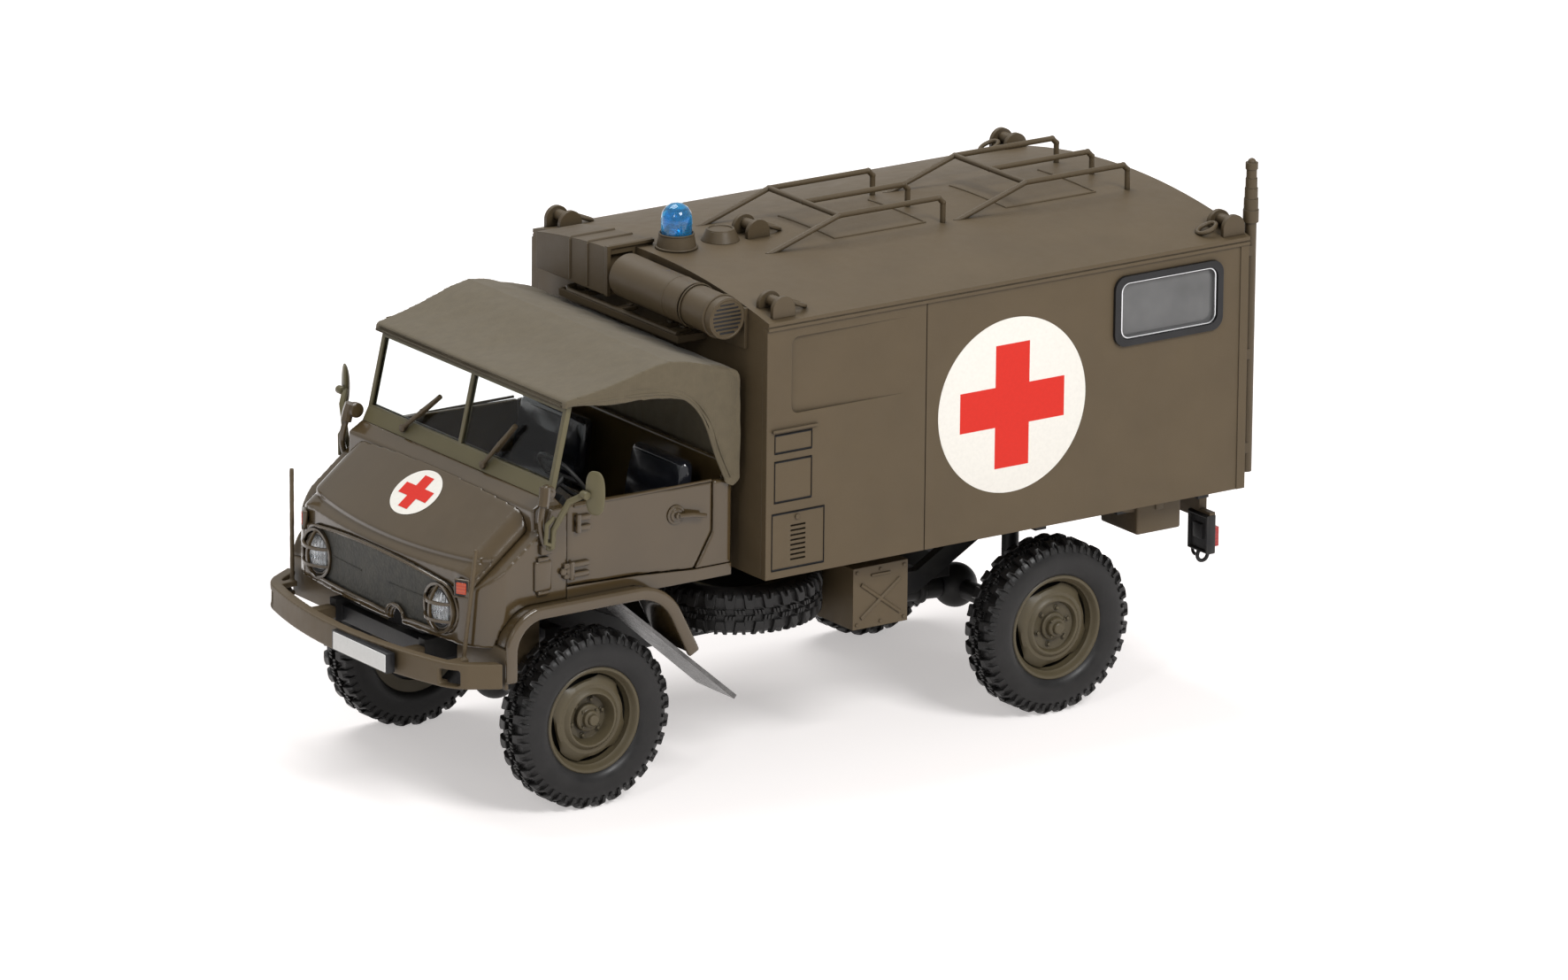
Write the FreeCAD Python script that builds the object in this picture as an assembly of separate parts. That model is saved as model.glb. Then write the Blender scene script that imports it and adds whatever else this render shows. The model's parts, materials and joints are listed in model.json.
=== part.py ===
import FreeCAD, Part
import math
import os

os.makedirs("parts", exist_ok=True)
V = FreeCAD.Vector

# Scale model of a four-wheel-drive army ambulance: short-bonnet cab, box body.
# Millimetres, +Z up, front of the truck towards -X, its left side towards -Y.
# Lengths along X are measured from the front axle until save() moves them.

# ---- wheels and axles ----
WHEELBASE = 82.86
TYRE_R = 13.37
TYRE_W = 6.6
LUGS_ROUND = 28
LUG_DEEP = 1.2
SHOULDER_R = 11.4
HALF_TRACK = 23.4
RIM_R = 8.05
RIM_IN = 0.7
STUB_R = 1.2
STUB_GAP = 0.08
AXLE_R = 1.5
DIFF_R = 3.4
SPRING_Y = 13.9
SPRING_R = 1.3

# ---- chassis ----
RAIL_Y = 11.0
RAIL_W = 1.6
RAIL_H = 3.4
RAIL_LOW_Z = 18.1
RAIL_FRONT_Z = 22.2
RAIL_REAR_Z = 25.0
CROSS_T = 1.6
CROSS_H = 2.4

# ---- cab ----
CAB_HALF = 25.7
SKIN = 1.0
NOSE_X = -21.4
NOSE_LAMP_X = -20.35
NOSE_Z = 26.8
DOOR_X0 = -4.7
DOOR_X1 = 20.7
CAB_REAR_X = 24.1
CAB_Z0 = 31.4
WAIST_Z = 46.4
REAR_WALL_Z = 48.7
SEAM = 0.15
TOP = 90.0

# lid edge: the sloping line where the bonnet sits on the nose
LID_X = -18.1
LID_Z = 36.3
LID_SLOPE = 0.78
LID_HALF = CAB_HALF - 2.8
LID_RISE = 3.9
LID_REAR_X = -9.8
LID_SKIN = 0.9

# fender arch, from its top down both ends
ARCH_TOP = 32.6
ARCH_FRONT_X = -10.5
ARCH_FRONT_R = 6.0
ARCH_FRONT_Z = 22.3
ARCH_REAR_X = 5.9
ARCH_REAR_R = 8.0
ARCH_REAR_ANGLE = 63.0
ARCH_REAR_LEN = 7.3
FENDER_IN = HALF_TRACK - 4.4
FENDER_OUT = HALF_TRACK + 5.3
FENDER_SKIN = 1.0
BEAD = 0.5
BEAD_W = 0.9

# front panel
LAMP_Y = 16.15
LAMP_Z = 31.35
LAMP_R = 3.1
GRILLE_TOP = 36.65
GRILLE_LOW = 27.9
GRILLE_END_R = 4.1
GRILLE_SKIN = 1.1
GRILLE_SET_BACK = 0.45
CRANK_Y = -5.8
CRANK_Z = 27.2
CRANK_R = 1.5
CRANK_RIM = 0.6

# windscreen, its middle plane from the foot up
SCREEN_LOW_X = -5.93
SCREEN_LOW_Z = 49.6
SCREEN_TOP_X = -3.36
SCREEN_TOP_Z = 60.7
SCREEN_HALF = CAB_HALF - 1.6
SCREEN_BAR = 0.8
SCREEN_T = 0.9
SCREEN_FOOT_Z = 47.6
PANE_T = 0.3

# canvas roof
CANVAS_T = 0.6
CANVAS_FRONT_X = -5.0
CANVAS_FRONT_HALF = CAB_HALF - 0.7
CANVAS_FRONT_Z = 62.0
CANVAS_RIDGE_X = 12.65
CANVAS_RIDGE_HALF = CAB_HALF + 0.9
CANVAS_RIDGE_Z = 66.2
CANVAS_OVERHANG = 1.3
CANVAS_REAR_HALF = CAB_HALF + 0.8
CANVAS_REAR_Z = 63.2
CANVAS_TIP_Z = 44.9
CANVAS_LIP_Z = 60.9
CANVAS_REAR_X = CAB_REAR_X + CANVAS_OVERHANG

# ---- box body ----
CAB_GAP = 2.85
BOX_LEN = 86.86
BOX_HALF = 30.31
BOX_Z0 = 31.08
BOX_SIDE_H = 38.88
BOX_CAMBER = 3.62
BOX_WALL = 1.2
TRIM_H = 1.26
TRIM_T = 0.35
ROOF_T = 0.9
GROOVE = 0.25
BOX_X0 = CAB_REAR_X + CAB_GAP
BOX_X1 = BOX_X0 + BOX_LEN
BOX_EAVE = BOX_Z0 + BOX_SIDE_H
BOX_CROWN = BOX_EAVE + BOX_CAMBER
WALL_TOP = BOX_EAVE - ROOF_T
TRIM_Z0 = BOX_EAVE - TRIM_H
TRIM_Y = BOX_HALF + TRIM_T
INNER_HALF = BOX_HALF - BOX_WALL

WIN_L = 19.8
WIN_H = 10.7
WIN_FROM_REAR = 4.91
WIN_FROM_EAVE = 2.66
WIN_R = 2.0
WIN_RUBBER = 1.0
WIN_PROUD = 0.5
GLASS_T = 0.5

DOORWAY_HALF = 15.0
DOORWAY_SILL = 1.92
DOORWAY_FROM_EAVE = 3.96
LEAF_GAP = 0.3

# ---- front bumper ----
BUMPER_X = -27.6
BUMPER_Z0 = 21.7
BUMPER_H = 3.8
BUMPER_T = 0.8
BUMPER_FLANGE = 0.9
PLATE_T = 0.9

# ---- aerial mast behind the box ----
MAST_R = 1.2
MAST_GAP = 0.5
MAST_Y = -28.4
MAST_X = BOX_X1 + MAST_GAP + MAST_R

# the footprint's centre, from the number plate's face to the mast's back
CENTRE_X = (BUMPER_X - PLATE_T + MAST_X + MAST_R) / 2


def save(name, shape):
    moved = shape.copy()
    moved.translate(V(-CENTRE_X, 0, 0))
    moved.exportStep("parts/" + name + ".step")
    b = moved.BoundBox
    print(name, len(moved.Solids), round(moved.Volume, 2), moved.isValid(),
          [round(v, 2) for v in (b.XMin, b.YMin, b.ZMin, b.XMax, b.YMax, b.ZMax)])


def box(x0, x1, y0, y1, z0, z1):
    return Part.makeBox(x1 - x0, y1 - y0, z1 - z0, V(x0, y0, z0))


def rod(start, end, radius):
    axis = end - start
    return Part.makeCylinder(radius, axis.Length, start, axis)


def face(path, place):
    """Closed outline. A step is (u, v) for a line, or ((u, v), (u, v)) for an arc's middle and end."""
    edges = []
    here = path[0]
    for step in path[1:] + [path[0]]:
        if isinstance(step[0], tuple):
            middle, there = step
            edges.append(Part.Arc(place(*here), place(*middle), place(*there)).toShape())
        else:
            there = step
            if place(*here).distanceToPoint(place(*there)) > 1e-6:
                edges.append(Part.makeLine(place(*here), place(*there)))
        here = there
    return Part.Face(Part.Wire(edges))


def along_y(path, y0, y1):
    return face(path, lambda x, z: V(x, y0, z)).extrude(V(0, y1 - y0, 0))


def along_x(path, x0, x1):
    return face(path, lambda y, z: V(x0, y, z)).extrude(V(x1 - x0, 0, 0))


def along_z(path, z0, z1):
    return face(path, lambda x, y: V(x, y, z0)).extrude(V(0, 0, z1 - z0))


def mirrored(shape):
    return shape.mirror(V(0, 0, 0), V(0, 1, 0))


def both_sides(shape):
    return Part.makeCompound([shape, mirrored(shape)])


def rounded(u0, u1, v0, v1, r):
    """Outline of a rectangle with round corners."""
    k = r * (1 - math.sqrt(0.5))
    return [(u0 + r, v0), (u1 - r, v0), ((u1 - k, v0 + k), (u1, v0 + r)),
            (u1, v1 - r), ((u1 - k, v1 - k), (u1 - r, v1)),
            (u0 + r, v1), ((u0 + k, v1 - k), (u0, v1 - r)),
            (u0, v0 + r), ((u0 + k, v0 + k), (u0 + r, v0))]


def largest(shape):
    return max(shape.Solids, key=lambda part: part.Volume)


# ================= wheels =================


PITCH = 2 * math.pi / LUGS_ROUND
ROOT_R = TYRE_R - LUG_DEEP
# the many-sided bead clears the round rim
BEAD_R = RIM_R / math.cos(PITCH / 2)
LUG_TAPER = 0.08
SHOULDER_IN = 0.9
TREAD_Y = TYRE_W / 2 - SHOULDER_IN


def at_turn(radius, turn, y):
    return V(radius * math.cos(turn), y, radius * math.sin(turn))


def polygon(points):
    return Part.Face(Part.makePolygon(points + points[:1]))


def tread_row(lug, y0, y1):
    """One row of lugs on a many-sided ring. lug lists (share of the pitch, radius) round one flat."""
    outer = [at_turn(r, PITCH * (i + share), y0) for i in range(LUGS_ROUND) for share, r in lug]
    inner = [at_turn(BEAD_R, PITCH * i, y0) for i in range(LUGS_ROUND)]
    return polygon(outer).cut(polygon(inner)).extrude(V(0, y1 - y0, 0))


def side_wall(side):
    """Faceted sidewall from the bead out to the root of the lugs."""
    # radius, y
    section = [(BEAD_R, TREAD_Y), (BEAD_R, TYRE_W / 2 - RIM_IN), (RIM_R + 1.6, TYRE_W / 2),
               (SHOULDER_R, TYRE_W / 2 - 0.2), (ROOT_R, TREAD_Y)]
    rings = [[at_turn(r, PITCH * i, side * y) for i in range(LUGS_ROUND)] for r, y in section]
    skins = []
    for inner, outer in zip(rings, rings[1:] + rings[:1]):
        for i in range(LUGS_ROUND):
            j = (i + 1) % LUGS_ROUND
            skins.append(polygon([inner[i], inner[j], outer[j], outer[i]]))
    return Part.makeSolid(Part.makeShell(skins))


def tyre():
    """Tyre about the Y axis: two staggered rows of lugs between faceted sidewalls."""
    flat_r = ROOT_R * math.cos(PITCH / 2)
    first = [(0.0, ROOT_R), (LUG_TAPER, TYRE_R), (0.5 - LUG_TAPER, TYRE_R), (0.5, flat_r)]
    second = [(0.0, ROOT_R), (0.5, flat_r), (0.5 + LUG_TAPER, TYRE_R), (1.0 - LUG_TAPER, TYRE_R)]
    shape = tread_row(first, -TREAD_Y, 0.0).fuse(tread_row(second, 0.0, TREAD_Y))
    return shape.fuse(side_wall(-1)).fuse(side_wall(1)).removeSplitter()


# rim: barrel and disc walls, hub outside and in
BARREL_T = 1.5
FLANGE_T = 0.8
DISC_T = 1.1
HUB_R = 2.6
CAP_R = 1.5
CAP_OUT = 1.3
FRONT_DISH = 2.4
REAR_DISH = 1.3


def rim(dish):
    """Pressed rim with a hub bored from inside. dish is how far the disc lies behind the flange."""
    half = TYRE_W / 2 - RIM_IN
    disc = -half + dish
    back = disc + DISC_T
    bore = STUB_R + STUB_GAP
    bore_end = back - SKIN / 2
    hub_in = half - FLANGE_T
    path = [(RIM_R, -half), (RIM_R, half), (RIM_R - FLANGE_T, half), (RIM_R - BARREL_T, hub_in),
            (RIM_R - BARREL_T, back), (HUB_R, back), (HUB_R, hub_in), (bore, hub_in), (bore, bore_end),
            (0, bore_end), (0, disc - CAP_OUT), (CAP_R, disc - CAP_OUT), (CAP_R, disc),
            (RIM_R - BARREL_T - FLANGE_T, disc), (RIM_R - BARREL_T, FLANGE_T - half),
            (RIM_R - FLANGE_T, -half)]
    ring = face(path, lambda r, y: V(r, y, 0))
    return ring.revolve(V(0, 0, 0), V(0, 1, 0), 360)


def placed_wheel(shape, x, side):
    wheel = shape.copy()
    if side > 0:
        wheel = mirrored(wheel)
    wheel.translate(V(x, side * HALF_TRACK, TYRE_R))
    return wheel


TYRE = tyre()
# wheel name, axle, side, dish
WHEELS = [("front_left", 0.0, -1, FRONT_DISH), ("front_right", 0.0, 1, FRONT_DISH),
          ("rear_left", WHEELBASE, -1, REAR_DISH), ("rear_right", WHEELBASE, 1, REAR_DISH)]
for name, x, side, dish in WHEELS:
    save("tyre_" + name, placed_wheel(TYRE, x, side))
    save("rim_" + name, placed_wheel(rim(dish), x, side))

# ================= chassis =================
RAIL_X0 = NOSE_X + 0.8
RAIL_X1 = BOX_X1 - 2.0
RAIL_OUT = RAIL_Y + RAIL_W
# rail's top line: x, z
RAIL_TOP = [(RAIL_X0, RAIL_FRONT_Z + RAIL_H), (8.0, RAIL_FRONT_Z + RAIL_H),
            (17.0, RAIL_LOW_Z + RAIL_H), (WHEELBASE - 16.0, RAIL_LOW_Z + RAIL_H),
            (WHEELBASE - 4.0, RAIL_REAR_Z + RAIL_H), (RAIL_X1, RAIL_REAR_Z + RAIL_H)]
# cross members: x, underside z
CROSSES = [(RAIL_X0 + 1.1, RAIL_FRONT_Z), (-8.0, RAIL_FRONT_Z), (6.0, RAIL_FRONT_Z), (43.0, RAIL_LOW_Z),
           (62.0, RAIL_LOW_Z), (WHEELBASE + 3.0, RAIL_REAR_Z), (RAIL_X1 - CROSS_T, RAIL_REAR_Z)]
BRACKET_W = 2.0
# cab mounts and body bearers stand on the rails: x of each
CAB_MOUNTS = (-6.0, 5.0)
REAR_BEARERS = (WHEELBASE - 3.0, WHEELBASE + 12.0, RAIL_X1 - BRACKET_W)
BEARER_BACK = 22.5
BEARER_STEP = 8.0
MIDDLE_BEARERS = (BOX_X0 + BEARER_BACK, BOX_X0 + BEARER_BACK + BEARER_STEP)
BEARER_IN = 6.0
MIDDLE_BEARER_HALF = 16.0
# screw bosses for a display stand: x of each
STAND_SCREWS = (22.0, WHEELBASE - 12.0)
STAND_Y = 7.0
BOSS_R = 3.0
BOSS_Z0 = 16.0
SCREW_R = 1.25
SCREW_DEEP = 4.0


def stand_screw(frame, x):
    plate_z = RAIL_LOW_Z + 1.0
    plate = box(x - BOSS_R, x + BOSS_R, -RAIL_Y, RAIL_Y, plate_z, RAIL_LOW_Z + RAIL_H)
    boss = Part.makeCylinder(BOSS_R, plate_z + 1.0 - BOSS_Z0, V(x, STAND_Y, BOSS_Z0))
    bore = Part.makeCylinder(SCREW_R, SCREW_DEEP, V(x, STAND_Y, BOSS_Z0))
    return frame.fuse(plate).fuse(boss).cut(bore)


rail = along_y(RAIL_TOP + [(x, z - RAIL_H) for x, z in reversed(RAIL_TOP)], RAIL_Y, RAIL_OUT)
frame = rail.fuse(mirrored(rail))
for x, z in CROSSES:
    frame = frame.fuse(box(x, x + CROSS_T, -RAIL_Y, RAIL_Y, z, z + CROSS_H))
for x in CAB_MOUNTS:
    mount = box(x, x + BRACKET_W, RAIL_Y, RAIL_OUT, RAIL_FRONT_Z + RAIL_H, CAB_Z0)
    frame = frame.fuse(mount).fuse(mirrored(mount))
bearer_half = BOX_HALF - BEARER_IN
for x in REAR_BEARERS:
    frame = frame.fuse(box(x, x + BRACKET_W, -bearer_half, bearer_half, RAIL_REAR_Z + RAIL_H, BOX_Z0))
for x in MIDDLE_BEARERS:
    frame = frame.fuse(box(x, x + BRACKET_W, -MIDDLE_BEARER_HALF, MIDDLE_BEARER_HALF,
                           RAIL_LOW_Z + RAIL_H, BOX_Z0))
for x in STAND_SCREWS:
    frame = stand_screw(frame, x)
save("chassis_frame", frame.removeSplitter())

TUBE_END = HALF_TRACK - TYRE_W / 2 - 1.2
STUB_END = HALF_TRACK - 1.0
HANGER_L = 2.8
HANGER_H = 1.6
# hangers sit this far up the side of the rail
HANGER_UP = 0.8


def sprung_axle(x, rail_z):
    """Axle tube with its differential, and a spring up to a hanger on each rail."""
    centre = V(x, 0, TYRE_R)
    across = V(0, 1, 0)
    shape = rod(centre - across * TUBE_END, centre + across * TUBE_END, AXLE_R)
    shape = shape.fuse(Part.makeSphere(DIFF_R, centre))
    shape = shape.fuse(rod(centre - across * STUB_END, centre + across * STUB_END, STUB_R))
    top_z = rail_z + HANGER_UP
    spring = Part.makeCylinder(SPRING_R, top_z - TYRE_R, V(x, SPRING_Y, TYRE_R))
    hanger = box(x - HANGER_L / 2, x + HANGER_L / 2, RAIL_OUT, SPRING_Y + SPRING_R, top_z, top_z + HANGER_H)
    return shape.fuse(spring).fuse(hanger).fuse(mirrored(spring)).fuse(mirrored(hanger))


save("front_axle", sprung_axle(0.0, RAIL_FRONT_Z))
save("rear_axle", sprung_axle(WHEELBASE, RAIL_REAR_Z))

# engine as a plain block under the cab's tunnel; gearbox and the drive tubes to both axles
TUNNEL_X0 = -13.4
TUNNEL_X1 = 13.0
TUNNEL_HALF = 7.5
TUNNEL_Z = 40.0
ENGINE_GAP = 0.6
TUBE_R = 1.7
GEARBOX_X0 = 34.0
GEARBOX_X1 = 54.0
GEARBOX_HALF = 4.6
GEARBOX_Z = 15.2
engine_half = TUNNEL_HALF - SKIN - ENGINE_GAP
engine = box(TUNNEL_X0 + SKIN + ENGINE_GAP, TUNNEL_X1 - SKIN - ENGINE_GAP, -engine_half, engine_half,
             RAIL_FRONT_Z + CROSS_H, TUNNEL_Z - SKIN - ENGINE_GAP)
save("engine_block", engine)
train = box(GEARBOX_X0, GEARBOX_X1, -GEARBOX_HALF, GEARBOX_HALF, 2 * GEARBOX_Z - RAIL_LOW_Z, RAIL_LOW_Z)
for axle_x, end_x in ((0.0, GEARBOX_X0), (WHEELBASE, GEARBOX_X1)):
    train = train.fuse(rod(V(axle_x, 0, TYRE_R), V(end_x, 0, GEARBOX_Z), TUBE_R))
    train = train.cut(Part.makeSphere(DIFF_R, V(axle_x, 0, TYRE_R)))
    train = train.cut(rod(V(axle_x, -TUBE_END, TYRE_R), V(axle_x, TUBE_END, TYRE_R), AXLE_R))
save("drive_train", largest(train))

# ================= cab =================


def lid_z(x):
    return LID_Z + LID_SLOPE * (x - LID_X)


# corner of the nose seen from above: front end, middle and rear end of its round, as (x, y)
CORNER_FRONT = (NOSE_X + 1.3, CAB_HALF - 6.9)
CORNER_MIDDLE = (NOSE_X + 3.1, CAB_HALF - 2.0)
CORNER_REAR_X = NOSE_X + 6.0


def plan(inset, back):
    """Cab outline from above: bowed front, round corners, straight sides."""
    half = CAB_HALF - inset
    front_x = CORNER_FRONT[0] + inset
    front_y = CORNER_FRONT[1]
    mid_x = CORNER_MIDDLE[0] + inset * 0.7
    mid_y = CORNER_MIDDLE[1] - inset * 0.7
    return [(back, -half), (CORNER_REAR_X, -half), ((mid_x, -mid_y), (front_x, -front_y)),
            ((NOSE_X + inset, 0), (front_x, front_y)), ((mid_x, mid_y), (CORNER_REAR_X, half)), (back, half)]


def arch(d):
    """Fender line offset outwards by d, front foot to rear foot."""
    a = math.radians(ARCH_REAR_ANGLE)
    rf = ARCH_FRONT_R + d
    rr = ARCH_REAR_R + d
    zf = ARCH_TOP - ARCH_FRONT_R
    zr = ARCH_TOP - ARCH_REAR_R
    end = (ARCH_REAR_X + rr * math.sin(a), zr + rr * math.cos(a))
    foot = (end[0] + ARCH_REAR_LEN * math.cos(a), end[1] - ARCH_REAR_LEN * math.sin(a))
    c = math.sqrt(0.5)
    return [(ARCH_FRONT_X - rf, ARCH_FRONT_Z), (ARCH_FRONT_X - rf, zf),
            ((ARCH_FRONT_X - rf * c, zf + rf * c), (ARCH_FRONT_X, zf + rf)),
            (ARCH_REAR_X, zr + rr),
            ((ARCH_REAR_X + rr * math.sin(a / 2), zr + rr * math.cos(a / 2)), end), foot]


def wheel_well(y0, y1):
    """Solid filling everything below the fender line."""
    line = arch(0.0)
    return along_y(line + [(line[-1][0], 0.0), (line[0][0], 0.0)], y0, y1)


def arch_strip(outer, inner, y0, y1):
    """Strip between two offsets of the fender line."""
    foot, shin, round_front, top, round_rear, heel = arch(inner)
    back = [heel, round_rear[1], (round_rear[0], top), round_front[1], (round_front[0], shin), foot]
    return along_y(arch(outer) + back, y0, y1)


# scuttle between bonnet and windscreen
SCUTTLE_X = -8.5
SCUTTLE_TOP_X = -7.4
SCUTTLE_Z = 42.6
SCUTTLE_TOP_Z = SCREEN_FOOT_Z
SCUTTLE_HALF = SCREEN_HALF + 0.2
AHEAD = -30.0


def nose():
    """Solid between the front, the fender line and the waist, under the bonnet's edge."""
    front_foot, front_shin, front_round = arch(0.0)[:3]
    side = [(AHEAD, NOSE_Z), (front_foot[0], NOSE_Z), front_shin, front_round, (DOOR_X0, ARCH_TOP),
            (DOOR_X0, WAIST_Z), (SCUTTLE_TOP_X - 0.2, WAIST_Z), (SCUTTLE_X, lid_z(SCUTTLE_X)),
            (AHEAD, lid_z(AHEAD))]
    return along_y(side, -TOP, TOP).common(along_z(plan(0.0, CAB_REAR_X), 0, TOP))


def nose_hollow():
    """Room inside the nose, open below."""
    drop = SKIN * math.hypot(1, LID_SLOPE)
    side = [(AHEAD, 0.0), (DOOR_X0 + SKIN, 0.0), (DOOR_X0 + SKIN, WAIST_Z - SKIN),
            (SCUTTLE_TOP_X - 0.2, WAIST_Z - SKIN), (SCUTTLE_X, lid_z(SCUTTLE_X) - drop),
            (AHEAD, lid_z(AHEAD) - drop)]
    return along_y(side, -TOP, TOP).common(along_z(plan(SKIN, CAB_REAR_X), 0, TOP))


def scuttle():
    half = SCUTTLE_HALF
    outer = along_y([(LID_REAR_X, SCUTTLE_Z), (LID_REAR_X, WAIST_Z - 0.2), (SCUTTLE_TOP_X, SCUTTLE_TOP_Z),
                     (SCREEN_LOW_X, SCUTTLE_TOP_Z), (DOOR_X0, WAIST_Z), (DOOR_X0, SCUTTLE_Z)], -half, half)
    half_in = half - 0.7 * SKIN
    roof_in = SCUTTLE_TOP_Z - SKIN
    inner = along_y([(LID_REAR_X + SKIN, 0.0), (LID_REAR_X + SKIN, WAIST_Z - SKIN), (SCUTTLE_TOP_X + 0.3, roof_in),
                     (SCREEN_LOW_X - 0.2, roof_in), (DOOR_X0, WAIST_Z - 1.4 * SKIN), (DOOR_X0, 0.0)],
                    -half_in, half_in)
    return outer.cut(inner)


def crown(half, rise, x_from, x_to, drop):
    """Bonnet block: crowned section sheared along the lid's slope."""
    section = [(half, 0), ((half - 0.8, rise * 0.5), (half - 3.2, rise * 0.79)),
               ((0, rise), (-half + 3.2, rise * 0.79)), ((-half + 0.8, rise * 0.5), (-half, 0))]
    z0 = lid_z(x_from) - drop
    base = face(section, lambda y, h: V(x_from, y, z0 + h))
    return base.extrude(V(x_to - x_from, 0, LID_SLOPE * (x_to - x_from)))


def grille_opening():
    """Arch over two lamp rounds, cut through the front."""
    r = GRILLE_END_R
    k = LAMP_Y + r
    low = GRILLE_LOW
    top = LAMP_Z + r
    outline = [(-LAMP_Y, low), (LAMP_Y, low), ((k, LAMP_Z - 0.1), (LAMP_Y, top)),
               ((0, GRILLE_TOP), (-LAMP_Y, top)), ((-k, LAMP_Z - 0.1), (-LAMP_Y, low))]
    return along_x(outline, AHEAD, CORNER_REAR_X)


# the bonnet closes an open bay with a narrow rim round it
BAY_RIM = 1.5
ahead = V(1, 0, 0)
crank_start = V(AHEAD, CRANK_Y, CRANK_Z)
crank_ring = Part.makeCylinder(CRANK_R + CRANK_RIM, CORNER_REAR_X - AHEAD, crank_start, ahead)
crank_hole = Part.makeCylinder(CRANK_R, CORNER_REAR_X - AHEAD, crank_start, ahead)
opening = grille_opening().cut(crank_ring)
lid = crown(LID_HALF, LID_RISE, AHEAD, LID_REAR_X, 0).common(along_z(plan(0.0, CAB_REAR_X), 0, TOP))
lid_in = crown(LID_HALF - LID_SKIN, LID_RISE - LID_SKIN, AHEAD, LID_REAR_X - LID_SKIN, 0.001)
lid_in = lid_in.common(along_z(plan(LID_SKIN, CAB_REAR_X), 0, TOP))
bonnet = lid.cut(lid_in).cut(opening)
bay_half = LID_HALF - BAY_RIM
bay = along_z(plan(SKIN + BAY_RIM, LID_REAR_X - BAY_RIM), CAB_Z0, TOP)
bay = bay.common(box(AHEAD, 0, -bay_half, bay_half, 0, TOP))
front = nose().cut(nose_hollow()).fuse(scuttle()).cut(lid).cut(opening).cut(crank_hole).cut(bay)
save("cab_nose", front)
save("bonnet", bonnet)

GRILLE_X1 = CORNER_REAR_X + 1.0
grille = along_z(plan(GRILLE_SET_BACK, GRILLE_X1), 0, TOP)
grille = grille.cut(along_z(plan(GRILLE_SET_BACK + GRILLE_SKIN, CAB_REAR_X), 0, TOP))
lamp_bore = both_sides(Part.makeCylinder(LAMP_R, CORNER_REAR_X - AHEAD, V(AHEAD, LAMP_Y, LAMP_Z), ahead))
grille = grille.common(grille_opening()).cut(crank_ring).cut(lamp_bore)
save("grille_panel", grille)

# lamp bodies fill the grille's bores, each with a slightly domed front
LAMP_DEEP = 4.0
LAMP_PROUD = 0.5
LAMP_DOME_R = 9.0
lamp_x = NOSE_LAMP_X - LAMP_PROUD
lamp = Part.makeCylinder(LAMP_R, LAMP_DEEP, V(lamp_x, LAMP_Y, LAMP_Z), ahead)
lamp = lamp.common(Part.makeSphere(LAMP_DOME_R, V(lamp_x + LAMP_DOME_R, LAMP_Y, LAMP_Z)))
save("headlamps", both_sides(lamp))

# lamp guard: a ring on the panel carrying bowed bars, two level and one upright
GUARD_T = 0.45
GUARD_R = 3.8
GUARD_BOW = 1.6
GUARD_BAR = 1.3
GUARD_DEEP = 1.2


def bowed_bar(reach, offset, place):
    """Flat bar bent forwards between two points of the ring. place turns (x, along, across) into a point."""
    x = NOSE_LAMP_X - GUARD_T
    t = GUARD_T
    path = [(x, -reach), ((x - GUARD_BOW, 0), (x, reach)),
            (x + t, reach), ((x - GUARD_BOW + t, 0), (x + t, -reach))]
    flat = face(path, lambda u, v: place(u, v, offset - t / 2))
    return flat.extrude(place(0, 0, t) - place(0, 0, 0))


def lamp_guard():
    ring_x = NOSE_LAMP_X - GUARD_T
    guard = Part.makeCylinder(GUARD_R, GUARD_DEEP, V(ring_x, LAMP_Y, LAMP_Z), ahead)
    guard = guard.cut(Part.makeCylinder(GUARD_R - GUARD_T, GUARD_DEEP, V(ring_x, LAMP_Y, LAMP_Z), ahead))
    reach = math.sqrt((GUARD_R - GUARD_T / 2) ** 2 - GUARD_BAR ** 2) - 0.1
    for offset in (-GUARD_BAR, GUARD_BAR):
        guard = guard.fuse(bowed_bar(reach, offset, lambda x, u, v: V(x, LAMP_Y + u, LAMP_Z + v)))
    upright = bowed_bar(GUARD_R - GUARD_T / 2, 0.0, lambda x, u, v: V(x, LAMP_Y + v, LAMP_Z + u))
    return guard.fuse(upright)


guard = lamp_guard().cut(grille).cut(front).cut(bonnet).removeSplitter()
save("lamp_guards", both_sides(largest(guard)))

# indicators on the bonnet's front corners
IND_Y = 20.6
IND_Z = 35.4
IND_W = 3.8
IND_H = 2.9
IND_PROUD = 0.35
half_w = IND_W / 2
half_h = IND_H / 2
ind_outline = rounded(IND_Y - half_w, IND_Y + half_w, IND_Z - half_h, IND_Z + half_h, 0.5)
ind = along_x(ind_outline, AHEAD, CORNER_REAR_X).common(along_z(plan(-IND_PROUD, CAB_REAR_X), 0, TOP))
ind = ind.cut(along_z(plan(0.0, CAB_REAR_X), 0, TOP))
save("indicators", both_sides(largest(ind)))

# floor with sills and engine tunnel
SILL_Z = 33.2
SILL_KINK_X = 8.0
SILL_KINK_Z = 33.9
SILL_FRONT_Z = 34.3
DOOR_FOOT_X = 17.5
DOOR_KNEE_Z = 38.6
FLOOR_X0 = -12.0
PANEL_IN = CAB_HALF - SKIN
floor = box(FLOOR_X0, CAB_REAR_X - SKIN, -PANEL_IN, PANEL_IN, CAB_Z0, CAB_Z0 + SKIN)
tunnel = box(TUNNEL_X0, TUNNEL_X1, -TUNNEL_HALF, TUNNEL_HALF, CAB_Z0, TUNNEL_Z)
tunnel_in_half = TUNNEL_HALF - SKIN
tunnel_in = box(TUNNEL_X0 + SKIN, TUNNEL_X1 - SKIN, -tunnel_in_half, tunnel_in_half, 0, TUNNEL_Z - SKIN)
floor = floor.fuse(tunnel).cut(tunnel_in)
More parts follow.
